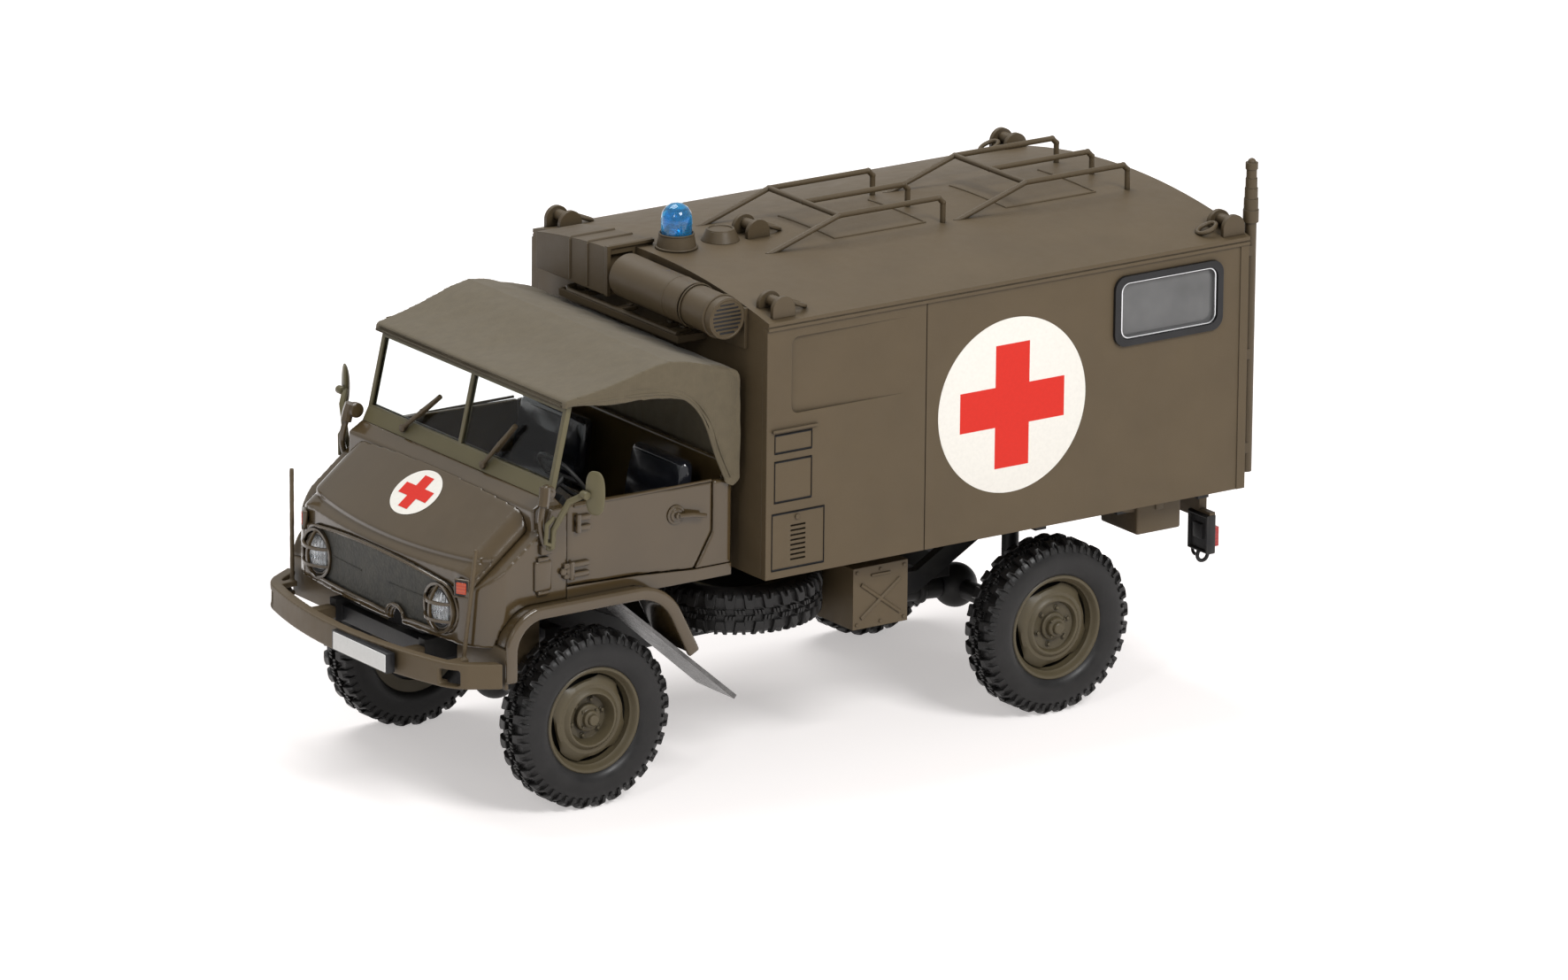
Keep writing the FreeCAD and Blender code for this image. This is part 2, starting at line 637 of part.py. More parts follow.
sill = along_y([(DOOR_X0, ARCH_TOP), (ARCH_REAR_X + 1.0, ARCH_TOP), (ARCH_REAR_X + 4.6, CAB_Z0),
                (CAB_REAR_X, CAB_Z0), (CAB_REAR_X, SILL_Z), (DOOR_FOOT_X, SILL_Z),
                (SILL_KINK_X, SILL_KINK_Z), (DOOR_X0, SILL_FRONT_Z)], PANEL_IN, CAB_HALF)
well = wheel_well(FENDER_IN, TOP)
floor = floor.fuse(sill).fuse(mirrored(sill)).cut(well).cut(mirrored(well)).removeSplitter()
save("cab_floor", floor)

# half doors; their top slopes gently down to the rear
DOOR_FALL = 0.3
door = along_y([(DOOR_X0, SILL_FRONT_Z + SEAM), (SILL_KINK_X, SILL_KINK_Z + SEAM),
                (DOOR_FOOT_X, SILL_Z + SEAM), (DOOR_X1, DOOR_KNEE_Z), (DOOR_X1, WAIST_Z - DOOR_FALL),
                (DOOR_X0, WAIST_Z + DOOR_FALL)], PANEL_IN, CAB_HALF)
save("doors", both_sides(door))

# rear wall with the quarter panels behind the doors
quarter_top = WAIST_Z - DOOR_FALL
quarter = along_y([(DOOR_X1 + SEAM, quarter_top), (CAB_REAR_X, quarter_top), (CAB_REAR_X, SILL_Z),
                   (DOOR_FOOT_X + 2 * SEAM, SILL_Z), (DOOR_X1 + SEAM, DOOR_KNEE_Z - SEAM)],
                  PANEL_IN, CAB_HALF)
wall = box(CAB_REAR_X - SKIN, CAB_REAR_X, -PANEL_IN, PANEL_IN, CAB_Z0, REAR_WALL_Z)
save("cab_rear", wall.fuse(quarter).fuse(mirrored(quarter)).removeSplitter())

# fenders with a beaded outer lip
wing = arch_strip(0.0, -FENDER_SKIN, FENDER_IN, FENDER_OUT)
wing = wing.fuse(arch_strip(BEAD, -FENDER_SKIN - BEAD, FENDER_OUT - BEAD_W, FENDER_OUT))
save("fenders", both_sides(wing.cut(front)))

# ---- windscreen ----


def screen_x(z):
    t = (z - SCREEN_LOW_Z) / (SCREEN_TOP_Z - SCREEN_LOW_Z)
    return SCREEN_LOW_X + t * (SCREEN_TOP_X - SCREEN_LOW_X)


half_t = SCREEN_T / 2
pane_z = SCREEN_LOW_Z + 0.3
slab = along_y([(SCUTTLE_TOP_X, SCREEN_FOOT_Z), (SCREEN_LOW_X, SCREEN_FOOT_Z),
                (SCREEN_LOW_X + half_t, SCREEN_LOW_Z), (SCREEN_TOP_X + half_t, SCREEN_TOP_Z),
                (SCREEN_TOP_X - half_t, SCREEN_TOP_Z), (SCREEN_LOW_X - half_t, SCREEN_LOW_Z)],
               -SCREEN_HALF, SCREEN_HALF)
pane_box = box(SCREEN_LOW_X - SCREEN_T, SCREEN_TOP_X + SCREEN_T, SCREEN_BAR / 2, SCREEN_HALF - SCREEN_BAR,
               pane_z, SCREEN_TOP_Z - SCREEN_BAR)
save("windscreen_frame", slab.cut(both_sides(pane_box)))
sheet = [(screen_x(z) + side * PANE_T / 2, z) for z, side in ((0, -1), (0, 1), (TOP, 1), (TOP, -1))]
save("windscreen_glass", both_sides(along_y(sheet, -TOP, TOP).common(pane_box)))

# ---- canvas roof ----
# side opening's rear edge: top, foot of its curve and the tip's corner, as (x, z)
OPENING_TOP = (12.7, 60.3)
OPENING_ROUND = (17.2, 57.7)
OPENING_REAR = (19.3, 53.25)
TIP_FRONT = (22.0, WAIST_Z)
REAR_ROUND = 2.4


def canvas_plan(inset):
    f = CANVAS_FRONT_HALF - inset
    r = CANVAS_RIDGE_HALF - inset
    b = CANVAS_REAR_HALF - inset
    x0 = CANVAS_FRONT_X - SKIN
    x1 = CANVAS_REAR_X - inset
    return [(x0, -f), (CANVAS_RIDGE_X, -r), (x1, -b), (x1, b), (CANVAS_RIDGE_X, r), (x0, f)]


def canvas_roof():
    """Hood sheet: top sloping to a ridge and down behind, side flaps that end in a tip."""
    rx = CANVAS_REAR_X
    rz = CANVAS_REAR_Z
    t = CANVAS_T
    outer = along_y([(CANVAS_FRONT_X, CANVAS_LIP_Z - 0.3), (CANVAS_FRONT_X + 0.5, CANVAS_FRONT_Z),
                     (CANVAS_RIDGE_X, CANVAS_RIDGE_Z), (rx - REAR_ROUND, rz),
                     ((rx - 0.5, rz - 0.9), (rx, rz - REAR_ROUND)),
                     (rx, CANVAS_TIP_Z + 0.9), ((rx - 1.0, CANVAS_TIP_Z), TIP_FRONT), OPENING_REAR,
                     (OPENING_ROUND, OPENING_TOP), (SCREEN_TOP_X, CANVAS_LIP_Z)], -TOP, TOP)
    inner = along_y([(CANVAS_FRONT_X + t, 0.0), (CANVAS_FRONT_X + t, CANVAS_LIP_Z + 0.2),
                     (CANVAS_RIDGE_X, CANVAS_RIDGE_Z - t), (rx - REAR_ROUND, rz - t),
                     (rx - t, rz - REAR_ROUND), (rx - t, 0.0)], -TOP, TOP)
    sheet = outer.common(along_z(canvas_plan(0.0), 0, TOP))
    return sheet.cut(inner.common(along_z(canvas_plan(t), 0, TOP)))


save("canvas_roof", largest(canvas_roof()))

# ---- cab interior ----
SEAT_Y = 14.5
SEAT_HALF = 6.3
SEAT_X0 = 5.5
SEAT_L = 11.0
SEAT_Z = 37.0
SEAT_T = 3.2
SEAT_FOOT = 2.0
BACK_H = 16.6
BACK_T = 2.4
BACK_LEAN = 3.6
back_x = SEAT_X0 + SEAT_L
back_z = SEAT_Z + BACK_H
BACK_SUNK = 0.9
seat_y0 = SEAT_Y - SEAT_HALF
seat_y1 = SEAT_Y + SEAT_HALF
back_top_x = back_x + BACK_LEAN - BACK_SUNK
cushion = box(SEAT_X0, back_x, seat_y0, seat_y1, SEAT_Z, SEAT_Z + SEAT_T)
back = along_y([(back_x - BACK_SUNK, SEAT_Z), (back_x + BACK_T + 0.7, SEAT_Z), (back_top_x + BACK_T, back_z),
                (back_top_x, back_z)], seat_y0, seat_y1)
pedestal = box(SEAT_X0 + 1.0, back_x + 1.0, seat_y0 + SEAT_FOOT, seat_y1 - SEAT_FOOT, CAB_Z0 + SKIN, SEAT_Z)
save("seats", both_sides(cushion.fuse(back).fuse(pedestal).removeSplitter()))

DASH_Z0 = WAIST_Z - 5.4
DASH_T = 2.3
DASH_HALF = SCREEN_HALF - 0.7
WHEEL_X = 2.2
WHEEL_Z = WAIST_Z + 0.6
WHEEL_R = 4.6
WHEEL_RIM = 0.35
WHEEL_TILT = V(0.79, 0, 0.61)
dash = along_y([(DOOR_X0, DASH_Z0), (DOOR_X0 + DASH_T, DASH_Z0), (DOOR_X0 + DASH_T, WAIST_Z - 1.4),
                (DOOR_X0 + 0.7, WAIST_Z + 1.0), (DOOR_X0, WAIST_Z)], -DASH_HALF, DASH_HALF)
hub = V(WHEEL_X, -SEAT_Y, WHEEL_Z)
column = rod(V(DOOR_X0 + 1.7, -SEAT_Y, DASH_Z0 + 2.0), hub, 0.5)
steering = Part.makeTorus(WHEEL_R, WHEEL_RIM, hub, WHEEL_TILT)
spoke = rod(hub - V(0, WHEEL_R, 0), hub + V(0, WHEEL_R, 0), WHEEL_RIM)
save("dashboard", dash.fuse(column).fuse(steering).fuse(spoke))

# ---- mirrors ----
ARM_R = 0.45
MIRROR_X = -5.1
MIRROR_OUT = 7.3
MIRROR_Y = CAB_HALF + MIRROR_OUT
MIRROR_Z = 50.25
MIRROR_W = 3.2
MIRROR_H = 6.7
MIRROR_T = 1.0
# arm joints from the cab's side to the head: x, y, z
ARM_X = -8.2
ARM_Z = WAIST_Z - 5.1
ARM = [(ARM_X, CAB_HALF, ARM_Z), (ARM_X, CAB_HALF + 1.2, ARM_Z), (ARM_X, CAB_HALF + 1.2, ARM_Z + 2.8),
       (MIRROR_X - 0.5, MIRROR_Y - 3.0, MIRROR_Z - 1.7), (MIRROR_X + 0.5, MIRROR_Y - 0.4, MIRROR_Z - 0.4)]
arm = Part.makeSphere(ARM_R, V(*ARM[1]))
for a, b in zip(ARM, ARM[1:]):
    arm = arm.fuse(rod(V(*a), V(*b), ARM_R)).fuse(Part.makeSphere(ARM_R, V(*b)))
arm = arm.cut(box(AHEAD, 0, 0, CAB_HALF, 0, TOP))
head = along_x(rounded(MIRROR_Y - MIRROR_W / 2, MIRROR_Y + MIRROR_W / 2, MIRROR_Z - MIRROR_H / 2,
                       MIRROR_Z + MIRROR_H / 2, 1.5), MIRROR_X - MIRROR_T / 2, MIRROR_X + MIRROR_T / 2)
save("mirrors", both_sides(arm.fuse(head)))

# ================= front end =================
BUMPER_Z1 = BUMPER_Z0 + BUMPER_H
# right half of the bumper from above: point and the direction in which it faces
BAR_LEN = 10.1
BAR_HALF = CAB_HALF + 2.9
BAR_BOW = 3.0
BAR_END = ((BUMPER_X + BAR_LEN, BAR_HALF), (-0.53, 0.85))
BAR_BEND = ((BUMPER_X + BAR_BOW + 2.7, BAR_HALF - 2.7), (-0.6, 0.8))
BAR_CORNER = ((BUMPER_X + BAR_BOW + 1.0, BAR_HALF - 4.6), (-0.8, 0.6))
BAR_SIDE = ((BUMPER_X + BAR_BOW, BAR_HALF - 7.1), (-1.0, 0.0))


def bumper_line(inset):
    """Bumper outline from above, offset inwards: bowed bar with its ends bent back."""
    right = [(x - inset * u, y - inset * v) for (x, y), (u, v) in (BAR_END, BAR_BEND, BAR_CORNER, BAR_SIDE)]
    (end, bend, corner, side) = right
    left = [(x, -y) for x, y in right]
    return [left[0], left[1], (left[2], left[3]), ((BUMPER_X + inset, 0), side), (corner, bend), end]


SLOT_Y0 = BAR_HALF - 6.6
SLOT_Y1 = BAR_HALF - 3.7
SLOT_Z0 = BUMPER_Z0 + 0.4
SLOT_Z1 = BUMPER_Z0 + 2.8
bar = along_z(bumper_line(0.0), BUMPER_Z0, BUMPER_Z1)
bar = bar.cut(along_z(bumper_line(BUMPER_T), BUMPER_Z0 + BUMPER_T, BUMPER_Z1 - BUMPER_T))
bar = bar.cut(along_z(bumper_line(BUMPER_T + BUMPER_FLANGE), BUMPER_Z0 - 1, BUMPER_Z1 + 1))
SLOT_X0 = BUMPER_X + 2.0
SLOT_X1 = BUMPER_X + 6.2
slot = box(SLOT_X0, SLOT_X1, SLOT_Y0, SLOT_Y1, SLOT_Z0, SLOT_Z1)
bar = bar.cut(slot).cut(mirrored(slot))
# marker rods lean outwards from a tab on the bumper's top flange
ROD_R = 0.35
ROD_BACK = 7.0
ROD_Y = BAR_HALF - 5.9
ROD_LEAN_X = 1.0
ROD_LEAN_Y = 1.7
ROD_RISE = 16.6
ROD_FOOT = V(BUMPER_X + ROD_BACK, ROD_Y, BUMPER_Z1 - 0.4)
ROD_HEAD = V(BUMPER_X + ROD_BACK + ROD_LEAN_X, ROD_Y + ROD_LEAN_Y, BUMPER_Z1 + ROD_RISE)
TAB_W = 1.4
TAB_X0 = BUMPER_X + BAR_BOW + 0.6
tab = box(TAB_X0, ROD_FOOT.x + 0.5, ROD_FOOT.y - TAB_W / 2, ROD_FOOT.y + TAB_W / 2,
          BUMPER_Z1 - BUMPER_T, BUMPER_Z1)
marker = tab.fuse(rod(ROD_FOOT, ROD_HEAD, ROD_R))
bar = bar.fuse(marker).fuse(mirrored(marker))
# brackets from the bumper's web to the frame rails
rail_mid = RAIL_Y + RAIL_W / 2
bracket = box(BUMPER_X + 1.4, RAIL_X0, rail_mid - BRACKET_W / 2, rail_mid + BRACKET_W / 2,
              BUMPER_Z0 + BUMPER_T + 0.3, BUMPER_Z1 - BUMPER_T - 0.1)
bar = bar.fuse(bracket).fuse(mirrored(bracket))
save("front_bumper", bar.removeSplitter())

PLATE_Y = -6.9
PLATE_HALF = 7.6
plate = box(BUMPER_X - PLATE_T, BUMPER_X + PLATE_T, PLATE_Y - PLATE_HALF, PLATE_Y + PLATE_HALF,
            BUMPER_Z0 + 0.5, BUMPER_Z1 - 0.3)
save("number_plate", largest(plate.cut(along_z(bumper_line(0.0), 0, TOP))))

# ================= under the body =================
SPARE_X = 32.0
SPARE_Y = -14.6
SPARE_GAP = 0.1
SPARE_Z = RAIL_LOW_Z + RAIL_H + TYRE_W / 2 + SPARE_GAP


def laid_flat(shape):
    flat = shape.copy()
    flat.rotate(V(0, 0, 0), V(1, 0, 0), 90)
    flat.translate(V(SPARE_X, SPARE_Y, SPARE_Z))
    return flat


save("spare_tyre", laid_flat(TYRE))
save("spare_rim", laid_flat(rim(FRONT_DISH)))

# chests hung from the box floor: x0, x1, y of inner and outer face, underside z
CHEST_Z1 = 28.6
CHEST = (45.7, 55.5, 16.2, 26.0, 19.2)
TANK = (28.0, 49.0, 14.2, 27.0, 20.2)
STRAP_IN = 1.4


def hung_box(sizes):
    x0, x1, y0, y1, z0 = sizes
    strap = box(x0 + STRAP_IN, x1 - STRAP_IN, y0 + STRAP_IN, y0 + 3 * STRAP_IN, CHEST_Z1, BOX_Z0)
    return box(x0, x1, y0, y1, z0, CHEST_Z1).fuse(strap).removeSplitter()


# pressed cross on the chest's outer face
RIB_R = 0.3
chest = hung_box(CHEST)
chest_x0, chest_x1, _, chest_y, chest_z = CHEST
low_z = chest_z + 1.6
high_z = CHEST_Z1 - 2.6
for za, zb in ((low_z, high_z), (high_z, low_z)):
    chest = chest.fuse(rod(V(chest_x0 + 1.4, chest_y, za), V(chest_x1 - 1.4, chest_y, zb), RIB_R))
save("tool_chest", mirrored(chest))
save("fuel_tank", hung_box(TANK))

# sloping flaps behind the front wheels: top and foot of the front face, as (x, z)
FLAP_T = 0.7
FLAP_TOP = (2.9, ARCH_TOP - FENDER_SKIN)
FLAP_FOOT = (24.2, 13.4)
FLAP_Y0 = 17.6
FLAP_Y1 = 27.3
flap_len = math.dist(FLAP_TOP, FLAP_FOOT)
flap_dx = FLAP_T * (FLAP_FOOT[1] - FLAP_TOP[1]) / flap_len
flap_dz = FLAP_T * (FLAP_TOP[0] - FLAP_FOOT[0]) / flap_len
flap = along_y([FLAP_TOP, FLAP_FOOT, (FLAP_FOOT[0] + flap_dx, FLAP_FOOT[1] + flap_dz),
                (FLAP_TOP[0] + flap_dx * FLAP_T / -flap_dz, FLAP_TOP[1])], FLAP_Y0, FLAP_Y1)
save("mud_flaps", both_sides(flap.cut(floor)))

# ================= box body =================
GUTTER_Z = TRIM_Z0 + 0.5
GUTTER_H = 0.22
GUTTER_DEEP = 0.15
crown_in = ((0, BOX_CROWN - ROOF_T), (-INNER_HALF, WALL_TOP))
gutter_y = TRIM_Y - GUTTER_DEEP
gutter_top = GUTTER_Z + GUTTER_H
roof = along_x([(-TRIM_Y, TRIM_Z0), (-TRIM_Y, GUTTER_Z), (-gutter_y, GUTTER_Z), (-gutter_y, gutter_top),
                (-TRIM_Y, gutter_top), (-TRIM_Y, BOX_EAVE), ((0, BOX_CROWN), (TRIM_Y, BOX_EAVE)),
                (TRIM_Y, gutter_top), (gutter_y, gutter_top), (gutter_y, GUTTER_Z),
                (TRIM_Y, GUTTER_Z), (TRIM_Y, TRIM_Z0), (BOX_HALF, TRIM_Z0), (BOX_HALF, WALL_TOP),
                (INNER_HALF, WALL_TOP), crown_in, (-BOX_HALF, WALL_TOP), (-BOX_HALF, TRIM_Z0)],
               BOX_X0, BOX_X1)
save("box_roof", roof)

# side walls; a strip covers each rear corner, and a hinge post the right wall's front edge
STRIP_W = 1.5
STRIP_T = 0.15
POST_W = 1.0
POST_T = 0.6
WIN_X1 = BOX_X1 - WIN_FROM_REAR
WIN_X0 = WIN_X1 - WIN_L
WIN_Z1 = BOX_EAVE - WIN_FROM_EAVE
WIN_Z0 = WIN_Z1 - WIN_H
window = along_y(rounded(WIN_X0, WIN_X1, WIN_Z0, WIN_Z1, WIN_R), 0, TOP)
strip = box(BOX_X1 - STRIP_W, BOX_X1, BOX_HALF, BOX_HALF + STRIP_T, BOX_Z0, TRIM_Z0)
side_wall = box(BOX_X0, BOX_X1, INNER_HALF, BOX_HALF, BOX_Z0, WALL_TOP).cut(window).fuse(strip)
post = box(BOX_X0, BOX_X0 + POST_W, BOX_HALF, BOX_HALF + POST_T, BOX_Z0 + DOORWAY_SILL, TRIM_Z0)
save("box_side_right", side_wall.fuse(post).removeSplitter())

# the left wall has flush covers in pockets, a scoop that fades out rearwards, a seam and a drip rail
COVER_T = 0.45
COVER_GAP = 0.12
# x and z of the lower front corner, from the wall's own, then length and height
COVERS = [(1.45, 18.87, 6.6, 2.95), (1.45, 11.42, 6.6, 6.35), (1.05, 1.17, 9.3, 8.69)]
SLOTS = 8
SLOT_X = 4.4
SLOT_Z = 2.4
SLOT_L = 2.65
SLOT_H = 0.28
SLOT_PITCH = 0.73
KNOB_X = 5.55
KNOB_Z = 8.92
KNOB_R = 0.4
SCOOP_X = 4.35
SCOOP_L = 20.2
SCOOP_FROM_EAVE = 2.76
SCOOP_H = 11.5
SCOOP_DEEP = 0.55
SCOOP_R = 1.2
SEAM_X = 28.35
DRIP_X = 0.95
DRIP_L = 7.9
DRIP_Z = 22.2
DRIP_T = 0.4
outside = BOX_HALF + 1.0
left_wall = side_wall
covers = []
for x, z, length, height in COVERS:
    x0 = BOX_X0 + x
    z0 = BOX_Z0 + z
    left_wall = left_wall.cut(box(x0, x0 + length, BOX_HALF - COVER_T, outside, z0, z0 + height))
    covers.append(box(x0 + COVER_GAP, x0 + length - COVER_GAP, BOX_HALF - COVER_T, BOX_HALF,
                      z0 + COVER_GAP, z0 + height - COVER_GAP))
for i in range(SLOTS):
    z = BOX_Z0 + SLOT_Z + i * SLOT_PITCH
    covers[-1] = covers[-1].cut(box(BOX_X0 + SLOT_X, BOX_X0 + SLOT_X + SLOT_L, 0, outside, z, z + SLOT_H))
knob_foot = V(BOX_X0 + KNOB_X, BOX_HALF - COVER_T / 2, BOX_Z0 + KNOB_Z)
covers[-1] = covers[-1].fuse(Part.makeCylinder(KNOB_R, COVER_T, knob_foot, V(0, 1, 0)))
scoop_x = BOX_X0 + SCOOP_X
scoop_end = scoop_x + SCOOP_L
scoop_z = BOX_EAVE - SCOOP_FROM_EAVE
scoop = along_y(rounded(scoop_x, scoop_end + SCOOP_R, scoop_z - SCOOP_H, scoop_z, SCOOP_R), 0, outside)
wedge = along_z([(scoop_x, BOX_HALF - SCOOP_DEEP), (scoop_end, BOX_HALF), (scoop_x, BOX_HALF)], 0, TOP)
seam_x = BOX_X0 + SEAM_X
seam_cut = box(seam_x - SEAM / 2, seam_x + SEAM / 2, BOX_HALF - GROOVE, outside, BOX_Z0, TRIM_Z0)
drip_x = BOX_X0 + DRIP_X
drip_z = BOX_Z0 + DRIP_Z
drip = box(drip_x, drip_x + DRIP_L, BOX_HALF, BOX_HALF + DRIP_T, drip_z, drip_z + DRIP_T)
left_wall = left_wall.cut(scoop.common(wedge)).cut(seam_cut).fuse(drip)
save("box_side_left", mirrored(left_wall))
save("side_covers", Part.makeCompound([mirrored(cover) for cover in covers]))

pane_outline = rounded(WIN_X0 + WIN_RUBBER, WIN_X1 - WIN_RUBBER, WIN_Z0 + WIN_RUBBER, WIN_Z1 - WIN_RUBBER,
                       WIN_R - WIN_RUBBER / 2)
pane_hole = along_y(pane_outline, 0, TOP)
band = box(BOX_X0, BOX_X1, INNER_HALF, BOX_HALF + WIN_PROUD, BOX_Z0, BOX_EAVE)
save("window_frames", both_sides(window.common(band).cut(pane_hole)))
glass_mid = BOX_HALF - BOX_WALL / 2
glass_band = box(BOX_X0, BOX_X1, glass_mid - GLASS_T / 2, glass_mid + GLASS_T / 2, BOX_Z0, BOX_EAVE)
save("window_glass", both_sides(pane_hole.common(glass_band)))

DOORWAY_Z0 = BOX_Z0 + DOORWAY_SILL
DOORWAY_Z1 = BOX_EAVE - DOORWAY_FROM_EAVE
end_wall = [(-INNER_HALF, BOX_Z0), (INNER_HALF, BOX_Z0), (INNER_HALF, WALL_TOP), crown_in]
save("box_front", along_x(end_wall, BOX_X0, BOX_X0 + BOX_WALL))
doorway = box(BOX_X1 - BOX_WALL, BOX_X1, -DOORWAY_HALF, DOORWAY_HALF, DOORWAY_Z0, DOORWAY_Z1)
save("box_rear", along_x(end_wall, BOX_X1 - BOX_WALL, BOX_X1).cut(doorway))
leaf = box(BOX_X1 - BOX_WALL, BOX_X1, LEAF_GAP / 2, DOORWAY_HALF, DOORWAY_Z0, DOORWAY_Z1)
save("rear_doors", both_sides(leaf))
save("box_floor", box(BOX_X0 + BOX_WALL, BOX_X1 - BOX_WALL, -INNER_HALF, INNER_HALF,
                      BOX_Z0, BOX_Z0 + BOX_WALL))

# ================= roof fittings =================


def roof_z(y):
    """Height of the roof's outer arc."""
    radius = (TRIM_Y * TRIM_Y + BOX_CAMBER * BOX_CAMBER) / (2 * BOX_CAMBER)
    return BOX_CROWN - radius + math.sqrt(radius * radius - y * y)


# room above the roof's skin; fittings start this far below it and are trimmed to it
SUNK = 0.6
over = TRIM_Y + BOX_WALL
above_roof = along_x([(-over, 2 * BOX_CROWN), (-over, BOX_EAVE), (-TRIM_Y, BOX_EAVE),
                      ((0, BOX_CROWN), (TRIM_Y, BOX_EAVE)), (over, BOX_EAVE), (over, 2 * BOX_CROWN)],
                     BOX_X0, BOX_X1)

BEACON_X = BOX_X0 + 4.75
BEACON_R0 = 3.1
BEACON_R1 = 2.6
BEACON_H = 2.1
LENS_R = 2.3
LENS_H = 4.7
CAP_BACK = 12.55
CAP_X = BOX_X0 + CAP_BACK
CAP_R0 = 3.15
CAP_R1 = 2.15
CAP_H = 1.6
base = Part.makeCone(BEACON_R0, BEACON_R1, BEACON_H + SUNK, V(BEACON_X, 0, BOX_CROWN - SUNK))
cap = Part.makeCone(CAP_R0, CAP_R1, CAP_H + SUNK, V(CAP_X, 0, BOX_CROWN - SUNK))
save("roof_caps", Part.makeCompound([base.common(above_roof), cap.common(above_roof)]))
beacon_z = BOX_CROWN + BEACON_H
lens = Part.makeCylinder(LENS_R, LENS_H - LENS_R, V(BEACON_X, 0, beacon_z))
lens = lens.fuse(Part.makeSphere(LENS_R, V(BEACON_X, 0, beacon_z + LENS_H - LENS_R))).removeSplitter()
save("beacon_lens", lens)

# lifting lugs: two arched cheeks with a pin between; centre x, centre y
LUG_L = 3.9
LUG_H = 2.7
LUG_CHEEK_H = 0.6
LUG_SPREAD = 3.6
LUG_T = 0.7
LUG_PIN_R = 0.85
LUG_PIN_Z = 1.4
LUG_Y = BOX_HALF - 2.76
LUG_FRONT_X = BOX_X0 + 3.31
LUG_REAR_X = BOX_X1 - 2.31
LUG_MIDDLE_X = BOX_X0 + 17.95
LUGS = [(LUG_FRONT_X, LUG_Y), (LUG_FRONT_X, -LUG_Y), (LUG_REAR_X, LUG_Y), (LUG_REAR_X, -LUG_Y),
        (LUG_MIDDLE_X, 0.0)]


def lifting_lug(x, y):
    z = roof_z(y)
    x0 = x - LUG_L / 2
    x1 = x + LUG_L / 2
    cheek = [(x0, z - SUNK), (x1, z - SUNK), (x1, z + LUG_CHEEK_H), ((x, z + LUG_H), (x0, z + LUG_CHEEK_H))]
    lug = rod(V(x, y - LUG_SPREAD / 2, z + LUG_PIN_Z), V(x, y + LUG_SPREAD / 2, z + LUG_PIN_Z), LUG_PIN_R)
    for side in (-1, 1):
        y0 = y + side * LUG_SPREAD / 2 - LUG_T / 2
        lug = lug.fuse(along_y(cheek, y0, y0 + LUG_T))
    return lug.common(above_roof)


save("lifting_lugs", Part.makeCompound([lifting_lug(x, y) for x, y in LUGS]))

# roof racks: three rods side by side, joined by a bar where they bend level
RACK_R = 0.42
KNUCKLE_R = 0.47
RACK_LIFT = 3.5
RACK_RUN = 13.6
RACK_LEN = 32.4
RACK_BEND = 0.8
RACK_Y = 9.0
RACK_X = BOX_X0 + 13.85
RACK_PITCH = 33.8


def rack_rod(x, y):
    """Rod that rises from the roof, runs level and turns down; the middle one starts at the bend."""
    top = BOX_CROWN + RACK_LIFT
    foot = roof_z(y) - SUNK
    end = x + RACK_LEN
    line = [V(x, y, foot), V(x + RACK_RUN, y, top), V(end - RACK_BEND, y, top),
            V(end, y, top - RACK_BEND), V(end, y, foot)]
    if y == 0:
        line = line[1:]
    shape = Part.makeSphere(KNUCKLE_R, line[0])
    for a, b in zip(line, line[1:]):
        shape = shape.fuse(rod(a, b, RACK_R)).fuse(Part.makeSphere(KNUCKLE_R, b))
    return shape


def roof_rack(x):
    bend = V(x + RACK_RUN, 0, BOX_CROWN + RACK_LIFT)
    rack = rod(bend - V(0, RACK_Y, 0), bend + V(0, RACK_Y, 0), RACK_R)
    for y in (-RACK_Y, 0.0, RACK_Y):
        rack = rack.fuse(rack_rod(x, y))
    return rack.common(above_roof)


save("roof_racks", Part.makeCompound([roof_rack(RACK_X), roof_rack(RACK_X + RACK_PITCH)]))

# ================= on the box's front wall =================
# heater drum: it rises slightly towards the truck's middle
HEAT_R = 3.3
HEAT_NECK_R = 2.6
HEAT_END_R = 3.1
HEAT_X = BOX_X0 - 0.35 - HEAT_R
HEAT_Z = BOX_EAVE + 0.1
HEAT_Y0 = -25.3
HEAT_Y1 = 0.3
HEAT_RISE = 0.5
HEAT_NECK_Y = -17.7
HEAT_NECK_L = 0.7
BACKING_T = 0.6
BACKING_Z0 = BOX_EAVE - 4.9


def heater_point(y):
    return V(HEAT_X, y, HEAT_Z + HEAT_RISE * (y - HEAT_Y0) / (HEAT_Y1 - HEAT_Y0))


def heater_part(y0, y1, radius):
    return rod(heater_point(y0), heater_point(y1), radius)


HOUSING_Y0 = 3.6
HOUSING_Y1 = 22.3
neck_end = HEAT_NECK_Y + HEAT_NECK_L
heater = heater_part(neck_end, HEAT_Y1, HEAT_R).fuse(heater_part(HEAT_Y0, HEAT_NECK_Y, HEAT_END_R))
heater = heater.fuse(heater_part(HEAT_NECK_Y - 1.0, neck_end + 1.0, HEAT_NECK_R))
backing = box(BOX_X0 - BACKING_T, BOX_X0, HEAT_Y0, HOUSING_Y0, BACKING_Z0, roof_z(HEAT_Y0))
save("heater", heater.fuse(backing))

